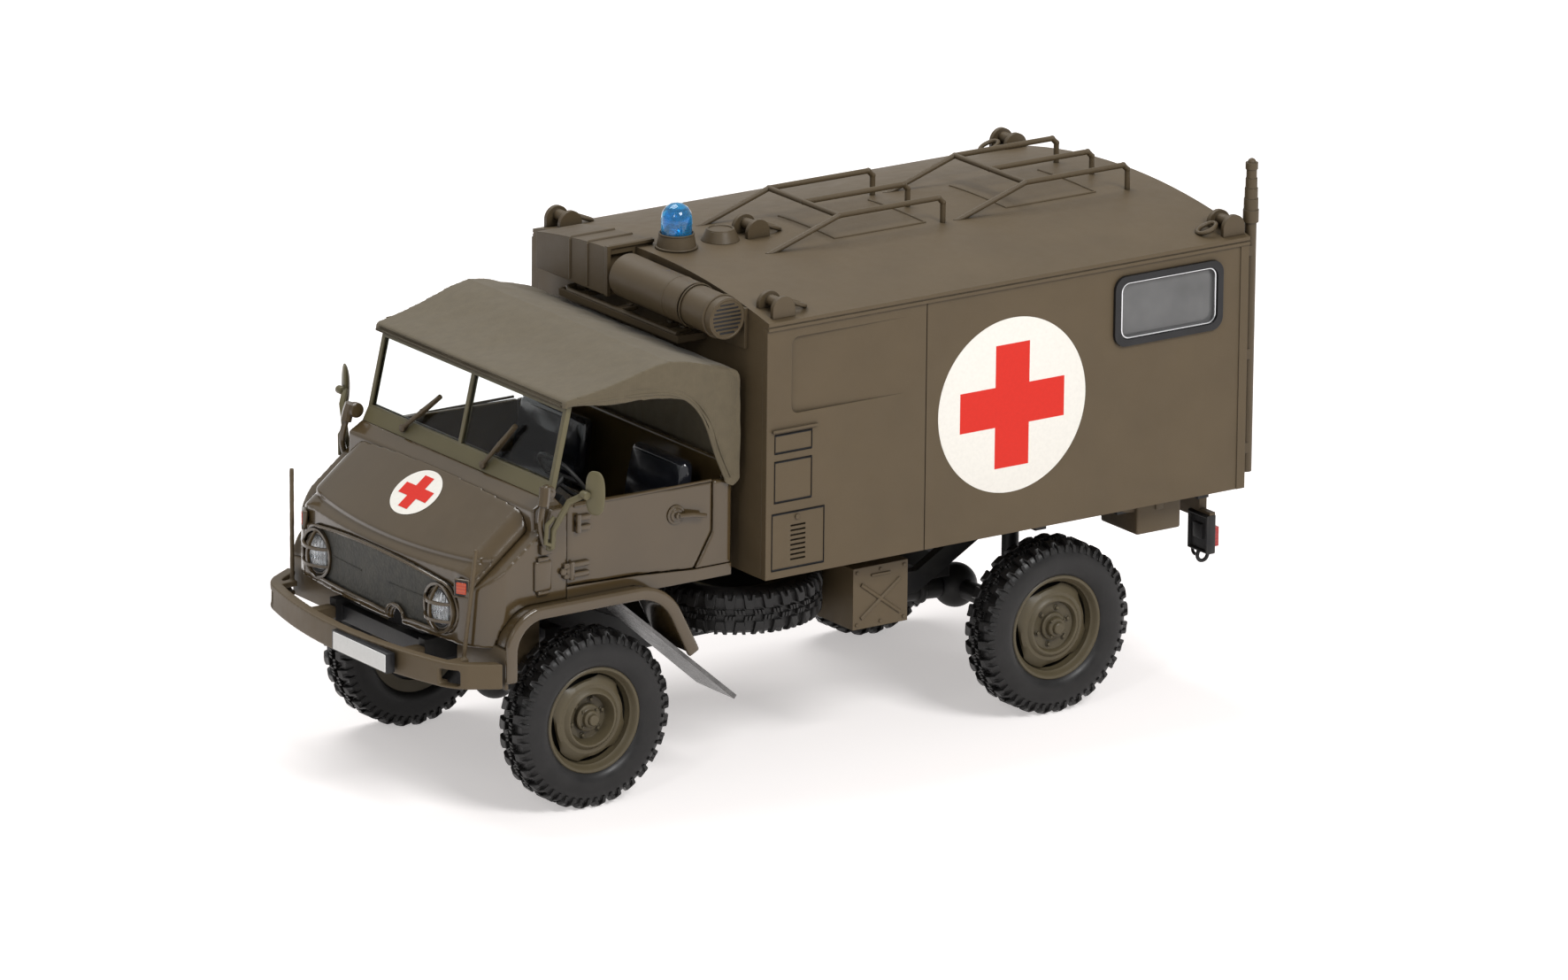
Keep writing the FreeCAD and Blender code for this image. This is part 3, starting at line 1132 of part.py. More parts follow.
# air housing beside it, folded over the roof's edge, with a lip round its open end
HOUSING_X = BOX_X0 - 4.95
HOUSING_Z0 = BOX_EAVE - 3.16
HOUSING_T = 0.55
HOUSING_BACK = BOX_X0 + 3.05
MOUTH_DEEP = 1.4
LIP_W = 0.7
LIP_T = 0.3
mid_y = (HOUSING_Y0 + HOUSING_Y1) / 2
top0 = roof_z(HOUSING_Y0) + HOUSING_T
outline = [(HOUSING_Y0, HOUSING_Z0), (HOUSING_Y1, HOUSING_Z0), (HOUSING_Y1, roof_z(HOUSING_Y1) + HOUSING_T),
           ((mid_y, roof_z(mid_y) + HOUSING_T), (HOUSING_Y0, top0))]
housing = along_x(outline, HOUSING_X, BOX_X0).fuse(along_x(outline, BOX_X0, HOUSING_BACK).common(above_roof))
mouth = box(HOUSING_X + HOUSING_T, BOX_X0 - HOUSING_T, HOUSING_Y0, HOUSING_Y0 + MOUTH_DEEP,
            HOUSING_Z0 + HOUSING_T, top0 - 2 * HOUSING_T)
lip_y = HOUSING_Y0 - LIP_W / 2
lip = box(HOUSING_X - LIP_T, HOUSING_X + LIP_T, lip_y, lip_y + LIP_W, HOUSING_Z0, top0 + LIP_T)
lip = lip.fuse(box(HOUSING_X - LIP_T, HOUSING_BACK, lip_y, lip_y + LIP_W, top0 - LIP_T / 2, top0 + LIP_T))
save("air_housing", housing.cut(mouth).fuse(lip).removeSplitter())

# bent strip that shields the housing and the heater from below
SHELF_REACH = 5.05
SHELF_X = BOX_X0 - SHELF_REACH
SHELF_T = 0.55
SHELF_Y0 = -14.8
SHELF_Y1 = 16.2
SHELF_Z0 = BACKING_Z0 - 1.05
SHELF_H = 1.05
shelf = box(SHELF_X, BOX_X0, SHELF_Y0, SHELF_Y1, SHELF_Z0, SHELF_Z0 + SHELF_H)
shelf = shelf.cut(box(SHELF_X + SHELF_T, BOX_X0, SHELF_Y0 + SHELF_T, SHELF_Y1 - SHELF_T, 0, TOP))
save("front_shelf", shelf)

# ================= rear end =================
MAST_TUBE_R = 0.9
MAST_FOOT_Z = BOX_Z0 + 1.9
MAST_SPLIT_Z = BOX_EAVE + 1.54
MAST_CLAMP_H = 1.6
# mast sections from the split upwards: radius, length
SECTIONS = [(MAST_R, 1.9), (1.1, 1.7), (1.0, 1.6), (0.9, 1.5), (0.8, 1.4), (0.95, 1.0)]
MAST_BALL_R = 0.65
mast_foot = V(MAST_X, MAST_Y, MAST_FOOT_Z)
mast = rod(mast_foot, V(MAST_X, MAST_Y, MAST_SPLIT_Z), MAST_TUBE_R)
z = MAST_SPLIT_Z
for radius, length in SECTIONS:
    mast = mast.fuse(Part.makeCylinder(radius, length, V(MAST_X, MAST_Y, z)))
    z = z + length
mast = mast.fuse(Part.makeSphere(MAST_BALL_R, V(MAST_X, MAST_Y, z)))
for z in (BOX_Z0 + 4.9, (BOX_Z0 + BOX_EAVE) / 2, BOX_EAVE - 3.5):
    mast = mast.fuse(box(BOX_X1, MAST_X, MAST_Y - MAST_TUBE_R, MAST_Y + MAST_TUBE_R, z, z + MAST_CLAMP_H))
save("aerial_mast", mast)

# beam across the rear with lamp brackets, and a tow hook on the frame's end
BEAM_X = RAIL_X1
BEAM_T = 1.4
BEAM_HALF = 22.0
BEAM_Z0 = RAIL_REAR_Z - 0.4
BEAM_H = 3.6
LAMP_BRACKET_Y = 22.5
LAMP_BRACKET_HALF = 2.2
LAMP_BRACKET_Z0 = BEAM_Z0 - 5.0
TAIL_HALF = 1.6
TAIL_Z0 = LAMP_BRACKET_Z0 + 0.8
TAIL_H = 3.0
TAIL_T = 1.2
HOOK_Z = BEAM_Z0 - 2.0
HOOK_LEN = 4.0
HOOK_R = 0.9
JAW_HALF = 2.2
JAW_T = 1.4
PIN_R = 0.6
PAD_HALF = 3.0
beam = box(BEAM_X, BEAM_X + BEAM_T, -BEAM_HALF, BEAM_HALF, BEAM_Z0, BEAM_Z0 + BEAM_H)
for y in (-LAMP_BRACKET_Y, LAMP_BRACKET_Y):
    beam = beam.fuse(box(BEAM_X, BEAM_X + SKIN, y - LAMP_BRACKET_HALF, y + LAMP_BRACKET_HALF,
                         LAMP_BRACKET_Z0, BEAM_Z0 + BEAM_T))
hook_end = BEAM_X + HOOK_LEN
jaw_z0 = HOOK_Z - JAW_HALF
beam = beam.fuse(box(BEAM_X, BEAM_X + BEAM_T, -PAD_HALF, PAD_HALF, jaw_z0, BEAM_Z0))
beam = beam.fuse(rod(V(BEAM_X, 0, HOOK_Z), V(hook_end, 0, HOOK_Z), HOOK_R))
beam = beam.fuse(box(hook_end - JAW_T, hook_end, -JAW_HALF, JAW_HALF, jaw_z0, jaw_z0 + 2 * JAW_HALF))
beam = beam.fuse(Part.makeCylinder(PIN_R, 2 * (JAW_HALF + PIN_R), V(hook_end - JAW_T / 2, 0, jaw_z0 - PIN_R)))
save("rear_beam", beam.removeSplitter())
lamp_x = BEAM_X + SKIN
tail = box(lamp_x, lamp_x + TAIL_T, LAMP_BRACKET_Y - TAIL_HALF, LAMP_BRACKET_Y + TAIL_HALF,
           TAIL_Z0, TAIL_Z0 + TAIL_H)
save("tail_lamps", both_sides(tail))
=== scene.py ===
import json
import math
import random

import bmesh
import bpy
from mathutils import Matrix, Vector, noise
from mathutils.bvhtree import BVHTree


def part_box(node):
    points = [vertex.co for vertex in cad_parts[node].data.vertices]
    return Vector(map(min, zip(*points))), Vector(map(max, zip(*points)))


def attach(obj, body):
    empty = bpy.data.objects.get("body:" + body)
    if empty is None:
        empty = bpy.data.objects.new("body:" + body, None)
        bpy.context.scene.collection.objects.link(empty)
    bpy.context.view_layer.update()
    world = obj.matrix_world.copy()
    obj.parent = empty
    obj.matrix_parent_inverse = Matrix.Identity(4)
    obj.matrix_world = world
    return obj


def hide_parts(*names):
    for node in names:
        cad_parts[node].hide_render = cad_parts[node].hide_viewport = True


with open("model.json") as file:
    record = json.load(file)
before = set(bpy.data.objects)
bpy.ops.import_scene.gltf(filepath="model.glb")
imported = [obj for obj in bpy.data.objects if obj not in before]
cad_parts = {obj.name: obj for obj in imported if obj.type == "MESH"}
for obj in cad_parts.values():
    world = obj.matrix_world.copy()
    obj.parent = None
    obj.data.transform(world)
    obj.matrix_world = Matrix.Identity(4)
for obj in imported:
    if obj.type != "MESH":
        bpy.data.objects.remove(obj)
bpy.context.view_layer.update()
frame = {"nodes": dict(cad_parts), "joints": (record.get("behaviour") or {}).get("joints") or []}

MM = 0.001
TURN = 2 * math.pi
LEFT, RIGHT = -1, 1
SIDES = ((LEFT, "left"), (RIGHT, "right"))
ACROSS = Vector((0, 1, 0))
AHEAD = Vector((-1, 0, 0))
UP = Vector((0, 0, 1))

# Pieces are shaped in millimetres from the front axle, like the CAD source, and PLACE puts them in the frame.
WHEELS = {joint["child"]: Vector(joint["pos_m"]) for joint in frame["joints"]}
PLACE = Matrix.Translation((WHEELS["wheel_front_left"].x, 0, 0)) @ Matrix.Scale(MM, 4)
HUBS = {body: PLACE.inverted() @ place for body, place in WHEELS.items()}


def span(node):
    """Lowest and highest corner of a CAD node in the shaping millimetres."""
    low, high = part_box(node)
    return PLACE.inverted() @ low, PLACE.inverted() @ high


# ---------------------------------------------------------------- shader expressions
class Signal:
    """A shader output that takes part in Python expressions."""

    def __init__(self, graph, socket):
        self.graph = graph
        self.socket = socket

    def calc(self, operation, other):
        return self.graph.node("Math", {"operation": operation}, {0: self, 1: other})

    def __add__(self, other):
        return self.calc("ADD", other)

    def __mul__(self, other):
        return self.calc("MULTIPLY", other)

    __radd__ = __add__
    __rmul__ = __mul__


class Graph:
    """A node tree of a material or the world."""

    def __init__(self, owner):
        owner.use_nodes = True
        self.tree = owner.node_tree

    def node(self, kind, settings=None, sockets=None, output=0):
        """Adds a node, its settings first, then the values or links of its sockets."""
        made = self.tree.nodes.new("ShaderNode" + kind)
        for key, value in (settings or {}).items():
            setattr(made, key, value)
        for key, value in (sockets or {}).items():
            self.feed(made.inputs[key], value)
        return Signal(self, made.outputs[output])

    def feed(self, socket, value):
        if isinstance(value, Signal):
            self.tree.links.new(value.socket, socket)
        else:
            socket.default_value = value

    def seen_directly(self):
        """1 for rays from the camera, from gloss and through glass, 0 for diffuse light."""
        camera, gloss, through = (self.node("LightPath", output=f"Is {kind} Ray")
                                  for kind in ("Camera", "Glossy", "Transmission"))
        return camera.calc("MAXIMUM", gloss).calc("MAXIMUM", through)


class Finish(Graph):
    """One material: its nodes, and the surface shader they feed."""

    def __init__(self, name, color, roughness, metallic=0.0, soft_edge=0.0):
        self.material = bpy.data.materials.new(name)
        super().__init__(self.material)
        self.shader = self.tree.nodes["Principled BSDF"]
        self.set(Base_Color=(*color, 1.0), Roughness=roughness, Metallic=metallic)
        self.place = self.node("TexCoord", output="Object")
        self.normal = None
        if soft_edge:
            self.normal = self.node("Bevel", {"samples": 5}, {"Radius": soft_edge * MM})
            self.set(Normal=self.normal)

    def set(self, **sockets):
        for name, value in sockets.items():
            self.feed(self.shader.inputs[name.replace("_", " ")], value)

    def noise(self, size, detail=2.0, roughness=0.5):
        """Soft random pattern whose features are about size millimetres."""
        return self.node("TexNoise", None, {"Vector": self.place, "Scale": 1.0 / (size * MM),
                                            "Detail": detail, "Roughness": roughness})

    def cells(self, size, feature="F1"):
        """Voronoi cells of about size millimetres."""
        return self.node("TexVoronoi", {"feature": feature},
                         {"Vector": self.place, "Scale": 1.0 / (size * MM)})

    def stripes(self, axis, size, **sockets):
        """Parallel waves size millimetres apart along the axis."""
        return self.node("TexWave", {"bands_direction": axis},
                         {"Vector": self.place, "Scale": 0.32 / (size * MM), **sockets})

    def ramp(self, value, low, high):
        """0 at low and below, 1 at high and above."""
        return self.node("MapRange", {"clamp": True}, {"Value": value, "From Min": low, "From Max": high})

    def patches(self, low, high, *pattern):
        """Noise turned into patches between two of its levels."""
        return self.ramp(self.noise(*pattern), low, high)

    def mix(self, mask, *colors):
        """First colour where the mask is 0, second where it is 1."""
        first, second = ((*color, 1.0) if isinstance(color, tuple) else color for color in colors)
        return self.node("Mix", {"data_type": "RGBA"}, {0: mask, 6: first, 7: second}, output=2)

    def bump(self, height, depth, strength=1.0):
        """Adds relief of that depth in millimetres over what the normal already is."""
        sockets = {"Height": height, "Distance": depth * MM, "Strength": strength}
        if self.normal:
            sockets["Normal"] = self.normal
        self.normal = self.node("Bump", None, sockets)
        self.set(Normal=self.normal)


def shade(color, factor):
    return tuple(min(1.0, c * factor) for c in color)


# ---------------------------------------------------------------- finishes
BOX_OLIVE = (0.099, 0.071, 0.038)
CAB_OLIVE = (0.074, 0.049, 0.021)
CANVAS_OLIVE = (0.112, 0.089, 0.052)


def paint(name, color, roughness, grain, coat=0.0, soft_edge=0.16):
    """Sprayed model paint: fine grain, slight shade drift, and painted shade that darkens its recesses."""
    finish = Finish(name, color, roughness, soft_edge=soft_edge)
    base = finish.mix(finish.patches(0.3, 0.7, 9.0, 3.0), shade(color, 0.94), shade(color, 1.06))
    speck = finish.patches(0.66, 0.8, 0.16, 2.0)
    sprayed = finish.mix(speck * 0.35, base, shade(color, 1.5))
    # painted shade: ambient occlusion darkens the colour to 0.42 of itself in recesses and between parts
    open_to_light = finish.node("AmbientOcclusion", {"samples": 4}, {"Distance": 1.6 * MM}, output=1)
    finish.set(Base_Color=finish.mix(finish.ramp(open_to_light, 0.35, 0.85), shade(color, 0.42), sprayed))
    finish.set(Roughness=finish.patches(0.2, 0.8, 2.2, 2.0) * 0.1 + (roughness - 0.05))
    finish.set(Coat_Weight=coat, Coat_Roughness=0.08, Specular_IOR_Level=0.34)
    finish.bump(finish.noise(0.22, 3.0, 0.6), 0.05, grain)
    return finish.material


def surface(name, color, roughness, metallic=0.0, soft_edge=0.0,
            grain=None, tones=None, gloss=None, **sockets):
    """Finish with fine relief, two tones in patches and a drifting roughness.

    grain is (pattern's method, its arguments, depth, strength), tones is (patches, colour between them,
    colour on them) and gloss is (patches, how much rougher they are, roughness between them).
    """
    finish = Finish(name, color, roughness, metallic, soft_edge)
    finish.set(**sockets)
    if grain:
        kind, pattern, depth, strength = grain
        finish.bump(getattr(finish, kind)(*pattern), depth, strength)
    if tones:
        patches, first, second = tones
        finish.set(Base_Color=finish.mix(finish.patches(*patches), first, second))
    if gloss:
        patches, rougher, base = gloss
        finish.set(Roughness=finish.patches(*patches) * rougher + base)
    return finish.material


def rubber(name, color, roughness):
    """Moulded black rubber with a faint bloom."""
    bloom = (0.4, 0.75, 3.0, 4.0)
    return surface(name, color, roughness, soft_edge=0.08, grain=("noise", (0.3, 3.0), 0.03, 0.25),
                   tones=(bloom, color, shade(color, 1.8)), gloss=(bloom, 0.14, roughness),
                   Specular_IOR_Level=0.32)


def decal(name, color):
    """Printed film on the paint: even colour with slight print grain."""
    return surface(name, color, 0.42, grain=("noise", (0.4, 2.0), 0.02, 0.2),
                   tones=((0.35, 0.75, 0.5, 3.0), color, shade(color, 0.95)), Specular_IOR_Level=0.25)


def canvas_cloth():
    """Woven hood cloth: crossed threads and thicker yarns."""
    finish = Finish("hood_canvas", CANVAS_OLIVE, 0.82)
    weft, warp = (finish.stripes(axis, 0.3, Distortion=0.4, Detail=1.0) for axis in "XY")
    slub = finish.patches(0.3, 0.75, 1.6, 4.0, 0.7)
    finish.set(Base_Color=finish.mix(slub, shade(CANVAS_OLIVE, 0.9), shade(CANVAS_OLIVE, 1.1)))
    finish.set(Sheen_Weight=0.15)
    finish.bump(weft * 0.5 + warp * 0.5, 0.05, 0.35)
    finish.bump(finish.noise(2.4, 3.0), 0.3, 0.2)
    return finish.material


def lens_plastic(name, color, glow, transmission=0.2, relief=0.06):
    """Coloured lens: deep clear plastic whose ribs carry a brighter painted glow, though the lens gives off
    no light.
    """
    finish = Finish(name, color, 0.08)
    finish.set(Transmission_Weight=transmission, IOR=1.4, Coat_Weight=0.5, Coat_Roughness=0.04)
    ribs = finish.stripes("Z", 0.5)
    # painted glow: the ribs are coloured brighter, as if lit from within
    finish.set(Base_Color=finish.mix(ribs * 0.5, color, glow))
    if relief:
        finish.bump(ribs, relief, 0.3)
    return finish.material


BOX_PAINT = paint("box_olive_matt", BOX_OLIVE, 0.50, 0.22)
ROOF_PAINT = paint("roof_fitting_olive", shade(BOX_OLIVE, 0.86), 0.46, 0.3)
CAB_PAINT = paint("cab_olive_gloss", CAB_OLIVE, 0.2, 0.05, coat=0.55, soft_edge=0.3)
SCREEN_PAINT = paint("screen_olive_satin", (0.125, 0.108, 0.055), 0.4, 0.15, soft_edge=0.2)
RIM_PAINT = paint("rim_olive_satin", (0.092, 0.074, 0.042), 0.42, 0.12, soft_edge=0.12)
TYRE = rubber("tyre_rubber", (0.0098, 0.0092, 0.0090), 0.34)
SEAL = rubber("seal_rubber", (0.010, 0.010, 0.011), 0.3)
CANVAS = canvas_cloth()
AMBER = lens_plastic("indicator_amber", (0.60, 0.05, 0.01), (0.85, 0.14, 0.02))
BLUE = lens_plastic("beacon_blue", (0.02, 0.36, 0.72), (0.05, 0.55, 0.92), 0.8, relief=0.0)
RED = lens_plastic("tail_red", (0.45, 0.01, 0.01), (0.7, 0.03, 0.02))
WHITE_FILM = decal("disc_white_film", (0.92, 0.89, 0.82))
RED_FILM = decal("cross_red_film", (0.72, 0.026, 0.014))
PLATE_FILM = decal("plate_white_film", (0.80, 0.80, 0.78))
# dull cast grille, satin black frame with brown dust, rough engine casting
GRILLE_PAINT = surface("grille_dull", (0.040, 0.040, 0.033), 0.62, soft_edge=0.15,
                       grain=("cells", (0.55,), 0.12, 0.6),
                       tones=((0.3, 0.7, 1.4, 3.0), (0.030, 0.030, 0.026), (0.052, 0.050, 0.040)))
CHASSIS = surface("chassis_satin_black", (0.016, 0.016, 0.016), 0.46, soft_edge=0.15, Specular_IOR_Level=0.3,
                  grain=("noise", (0.4, 3.0), 0.05, 0.3),
                  tones=((0.35, 0.7, 4.0, 3.0), (0.012, 0.012, 0.013), (0.026, 0.025, 0.023)))
ENGINE = surface("engine_cast_grey", (0.05, 0.05, 0.049), 0.6, 0.3, soft_edge=0.2,
                 grain=("noise", (0.5, 4.0), 0.1, 0.6))
# leather-grained seat cover, scuffed mud flap, plated reflector
VINYL = surface("seat_black_vinyl", (0.011, 0.012, 0.016), 0.14, gloss=((0.45, 0.75, 2.0, 3.0), 0.14, 0.12),
                grain=("cells", (0.35, "DISTANCE_TO_EDGE"), 0.03, 0.35), Coat_Weight=0.7, Coat_Roughness=0.1)
SCUFFS = (0.4, 0.8, 2.5, 5.0, 0.7)
FLAP = surface("mud_flap_grey", (0.10, 0.10, 0.095), 0.3, soft_edge=0.1,
               grain=("noise", (0.5, 3.0), 0.04, 0.4),
               tones=(SCUFFS, (0.085, 0.082, 0.08), (0.18, 0.175, 0.17)), gloss=(SCUFFS, 0.15, 0.22))
BRIGHT = surface("lamp_bright_metal", (0.75, 0.76, 0.78), 0.14, 1.0, grain=("noise", (0.5, 2.0), 0.02, 0.3),
                 gloss=((0.3, 0.8, 1.0, 2.0), 0.12, 0.1))
# clear windscreen, grey privacy glass of the box that is only a little see-through, ribbed lamp glass
PANE = surface("window_clear", (0.82, 0.86, 0.86), 0.0, grain=("noise", (5.0, 1.0), 0.02, 0.3),
               Transmission_Weight=1.0, IOR=1.15, Specular_IOR_Level=0.9)
DARK_PANE = surface("cabin_window_grey", (0.16, 0.16, 0.16), 0.16, grain=("noise", (1.2, 2.0), 0.03, 0.2),
                    tones=((0.25, 0.8, 6.0, 2.0), (0.13, 0.13, 0.13), (0.20, 0.20, 0.20)),
                    Transmission_Weight=0.25, IOR=1.3, Coat_Weight=0.4, Coat_Roughness=0.05)
LAMP_GLASS = surface("lamp_ribbed_glass", (0.9, 0.92, 0.93), 0.05, grain=("stripes", ("Y", 0.7), 0.12, 0.5),
                     Transmission_Weight=0.85, IOR=1.35)

# CAD nodes by their finish, also those that a piece stands for later
KEPT_NODES = (
    (BOX_PAINT, "box_roof box_side_left box_side_right side_covers box_front box_rear rear_doors box_floor"),
    (BOX_PAINT, "tool_chest fuel_tank rear_beam"),
    (ROOF_PAINT, "roof_caps lifting_lugs roof_racks heater air_housing front_shelf aerial_mast"),
    (CAB_PAINT, "cab_nose bonnet cab_floor cab_rear doors fenders lamp_guards front_bumper mirrors"),
    (SCREEN_PAINT, "windscreen_frame"),
    (RIM_PAINT, "spare_rim"),
    (GRILLE_PAINT, "grille_panel"),
    (CHASSIS, "chassis_frame front_axle rear_axle drive_train dashboard"),
    (ENGINE, "engine_block"),
    (SEAL, "window_frames"),
    (PANE, "windscreen_glass"),
    (DARK_PANE, "window_glass"),
    (AMBER, "indicators"),
    (BLUE, "beacon_lens"),
    (RED, "tail_lamps"),
    (FLAP, "mud_flaps"),
    (PLATE_FILM, "number_plate"),
)


def dress_kept_nodes():
    for material, names in KEPT_NODES:
        for name in names.split():
            mesh = frame["nodes"][name].data
            mesh.materials.clear()
            mesh.materials.append(material)


# ---------------------------------------------------------------- shaping tools
def facing(axis, place=(0, 0, 0)):
    """Matrix that takes +Z to the axis and the origin to the place."""
    return Matrix.Translation(place) @ Vector(axis).to_track_quat("Z", "Y").to_matrix().to_4x4()


def mesh_from(bm, name):
    """Blender mesh of the working mesh, which is freed."""
    mesh = bpy.data.meshes.new(name)
    bm.to_mesh(mesh)
    bm.free()
    return mesh


def shown(name, data):
    """New object of this data, linked to the scene."""
    made = bpy.data.objects.new(name, data)
    bpy.context.scene.collection.objects.link(made)
    return made


def of_type(made, kind):
    return [item for item in made["geom"] if isinstance(item, kind)]


def faces_of(verts):
    """The faces round these vertices, each once and in a fixed order."""
    return list(dict.fromkeys(face for vert in verts for face in vert.link_faces))


def soften(bm, faces, offset, segments=2, angle=30):
    """Bevels the sharp edges of these faces."""
    edges = dict.fromkeys(edge for face in faces for edge in face.edges if len(edge.link_faces) == 2)
    sharp = [edge for edge in edges if edge.calc_face_angle(0) > math.radians(angle)]
    if sharp and offset:
        bmesh.ops.bevel(bm, geom=sharp, offset=offset, segments=segments, profile=0.5,
                        affect="EDGES", material=-1, clamp_overlap=True)


def block(bm, low, high, soft=0.1, segments=2):
    """Bar between two corners with softened edges."""
    low, high = Vector(low), Vector(high)
    matrix = Matrix.Translation((low + high) / 2) @ Matrix.Diagonal((*(high - low), 1))
    made = bmesh.ops.create_cube(bm, size=1.0, matrix=matrix)
    soften(bm, faces_of(made["verts"]), soft, segments)


def drum(bm, base, axis, radius, depth, soft=0.0, tip=None, segments=32):
    """Round boss standing on base along axis."""
    made = bmesh.ops.create_cone(bm, cap_ends=True, cap_tris=False, segments=segments, radius1=radius,
                                 radius2=radius if tip is None else tip, depth=depth,
                                 matrix=facing(axis, Vector(base) + axis * depth / 2))
    soften(bm, faces_of(made["verts"]), soft, 2, 50)


def join(bm, part, matrix=Matrix.Identity(4)):
    """Adds a separate mesh to this one, moved by the matrix."""
    part.transform(matrix)
    if matrix.determinant() < 0:
        bmesh.ops.reverse_faces(part, faces=part.faces[:])
    mesh = mesh_from(part, "part")
    bm.from_mesh(mesh)
    bpy.data.meshes.remove(mesh)


def joined(part, matrix=Matrix.Identity(4)):
    """A new mesh that holds only this part."""
    bm = bmesh.new()
    join(bm, part, matrix)
    return bm


def turned_block(bm, matrix, low, high, soft, segments=2):
    """Bar shaped in its own axes, then moved by the matrix."""
    part = bmesh.new()
    block(part, low, high, soft, segments)
    join(bm, part, matrix)


def turned(profile, steps=64, closed=False):
    """Mesh turned about +Z from (radius, height) points."""
    part = bmesh.new()
    verts = [part.verts.new((radius, 0, height)) for radius, height in profile]
    edges = [part.edges.new(pair) for pair in zip(verts, verts[1:])]
    if closed:
        edges.append(part.edges.new((verts[-1], verts[0])))
    bmesh.ops.spin(part, geom=verts + edges, cent=(0, 0, 0), axis=(0, 0, 1), angle=TURN, steps=steps,
                   use_merge=True)
    bmesh.ops.remove_doubles(part, verts=part.verts, dist=1e-4)
    bmesh.ops.recalc_face_normals(part, faces=part.faces)
    return part


def lathe(bm, profile, base, axis, steps, closed=False):
    join(bm, turned(profile, steps, closed), facing(axis, base))


def wire(bm, points, radius, closed=False, smooth=False, rounding=2):
    """Round rod through the points, mitred or in one soft curve."""
    curve = bpy.data.curves.new("wire", "CURVE")
    curve.dimensions = "3D"
    curve.bevel_depth = radius
    curve.bevel_resolution = rounding
    curve.use_fill_caps = True
    line = curve.splines.new("NURBS" if smooth else "POLY")
    line.points.add(len(points) - 1)
    for point, place in zip(line.points, points):
        point.co = (*place, 1.0)
    line.use_cyclic_u = closed
    if smooth:
        line.order_u = 3
        line.use_endpoint_u = True
        line.resolution_u = 6
    holder = bpy.data.objects.new("wire", curve)
    mesh = bpy.data.meshes.new_from_object(holder)
    bm.from_mesh(mesh)
    bpy.data.objects.remove(holder)
    bpy.data.meshes.remove(mesh)
    bpy.data.curves.remove(curve)


def whole_turn(count):
    """Even angles round a full circle."""
    return [TURN * index / count for index in range(count)]


def hoop(bm, centre, axis, radius, thick, count=28):
    """Ring of wire round the axis."""
    turn = facing(axis)
    points = [(radius * math.cos(angle), radius * math.sin(angle), 0) for angle in whole_turn(count)]
    wire(bm, [Vector(centre) + turn @ Vector(point) for point in points], thick, closed=True)


def plate(bm, outline, axis, depth, soft=0.0):
    """Flat outline of 3-D points pushed out along the axis."""
    face = bm.faces.new([bm.verts.new(point) for point in outline])
    face.normal_update()
    if face.normal.dot(axis) > 0:
        face.normal_flip()
    top = of_type(bmesh.ops.extrude_face_region(bm, geom=[face], use_keep_orig=True), bmesh.types.BMVert)
    bmesh.ops.translate(bm, verts=top, vec=axis * depth)
    faces = faces_of(top) + [face]
    bmesh.ops.recalc_face_normals(bm, faces=faces)
    soften(bm, faces, soft, 1)


def mirrored(bm):
    """Adds the other side's copy across the truck's middle plane."""
    made = bmesh.ops.duplicate(bm, geom=bm.verts[:] + bm.edges[:] + bm.faces[:])
    bmesh.ops.scale(bm, verts=of_type(made, bmesh.types.BMVert), vec=(1, -1, 1))
    bmesh.ops.reverse_faces(bm, faces=of_type(made, bmesh.types.BMFace))


def node_mesh(node):
    """Copy of a CAD node's mesh in the shaping millimetres."""
    bm = bmesh.new()
    bm.from_mesh(frame["nodes"][node].data)
    bm.transform(PLACE.inverted())
    return bm


def relaxed_copy(node, grain, rounds, carve=None):
    """A CAD node's shape as one even mesh of that grain, its edges relaxed round."""
    bm = node_mesh(node)
    bmesh.ops.remove_doubles(bm, verts=bm.verts, dist=1e-4)
    bmesh.ops.recalc_face_normals(bm, faces=bm.faces)
    mesh = mesh_from(bm, "relaxed")
    holder = shown("relaxed", mesh)
    remesh = holder.modifiers.new("even", "REMESH")
    remesh.mode = "VOXEL"
    remesh.voxel_size = grain
    even = bpy.data.meshes.new_from_object(holder.evaluated_get(bpy.context.evaluated_depsgraph_get()))
    bpy.data.objects.remove(holder)
    bpy.data.meshes.remove(mesh)
    bm = bmesh.new()
    bm.from_mesh(even)
    bpy.data.meshes.remove(even)
    if carve:
        for vert in bm.verts:
            vert.co = carve(vert.co)
    for _ in range(rounds):
        bmesh.ops.smooth_vert(bm, verts=bm.verts, factor=0.5,
                              use_axis_x=True, use_axis_y=True, use_axis_z=True)
    return bm


def piece(name, bm, material, slot="olive_paint", body="truck", stands_for=(), angle=35):
    """Finished object of this mesh, riding on its body."""
    bm.transform(PLACE)
    mesh = mesh_from(bm, name)
    mesh.shade_smooth()
    mesh.set_sharp_from_angle(angle=math.radians(angle))
    mesh.materials.append(material)
    made = shown(name, mesh)
    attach(made, body)
    if stands_for:
        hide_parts(*stands_for)
    return made


def named_once(side, node):
    """The node that two mirrored pieces replace, named by the left one only."""
    return [node] if side == LEFT else ()


# ---------------------------------------------------------------- wheels
TYRE_R = 13.37
ROOT_R = 12.55
PITCHES = 28
PITCH = TURN / PITCHES

# (arc, width) outlines of a notched shoulder block and of a short bar in the tread's middle
HORN = [(-0.72, 0.95), (0.72, 0.95), (0.86, 1.9), (1.08, 3.06), (0.52, 3.06), (0.26, 2.35),
        (-0.26, 2.35), (-0.52, 3.06), (-1.08, 3.06), (-0.86, 1.9)]
BAR = [(0, 0.06), (0.47, 0.12), (0.62, 0.82), (0.15, 0.74)]
BAR_OFFSETS = (-0.95, -0.32, 0.31)

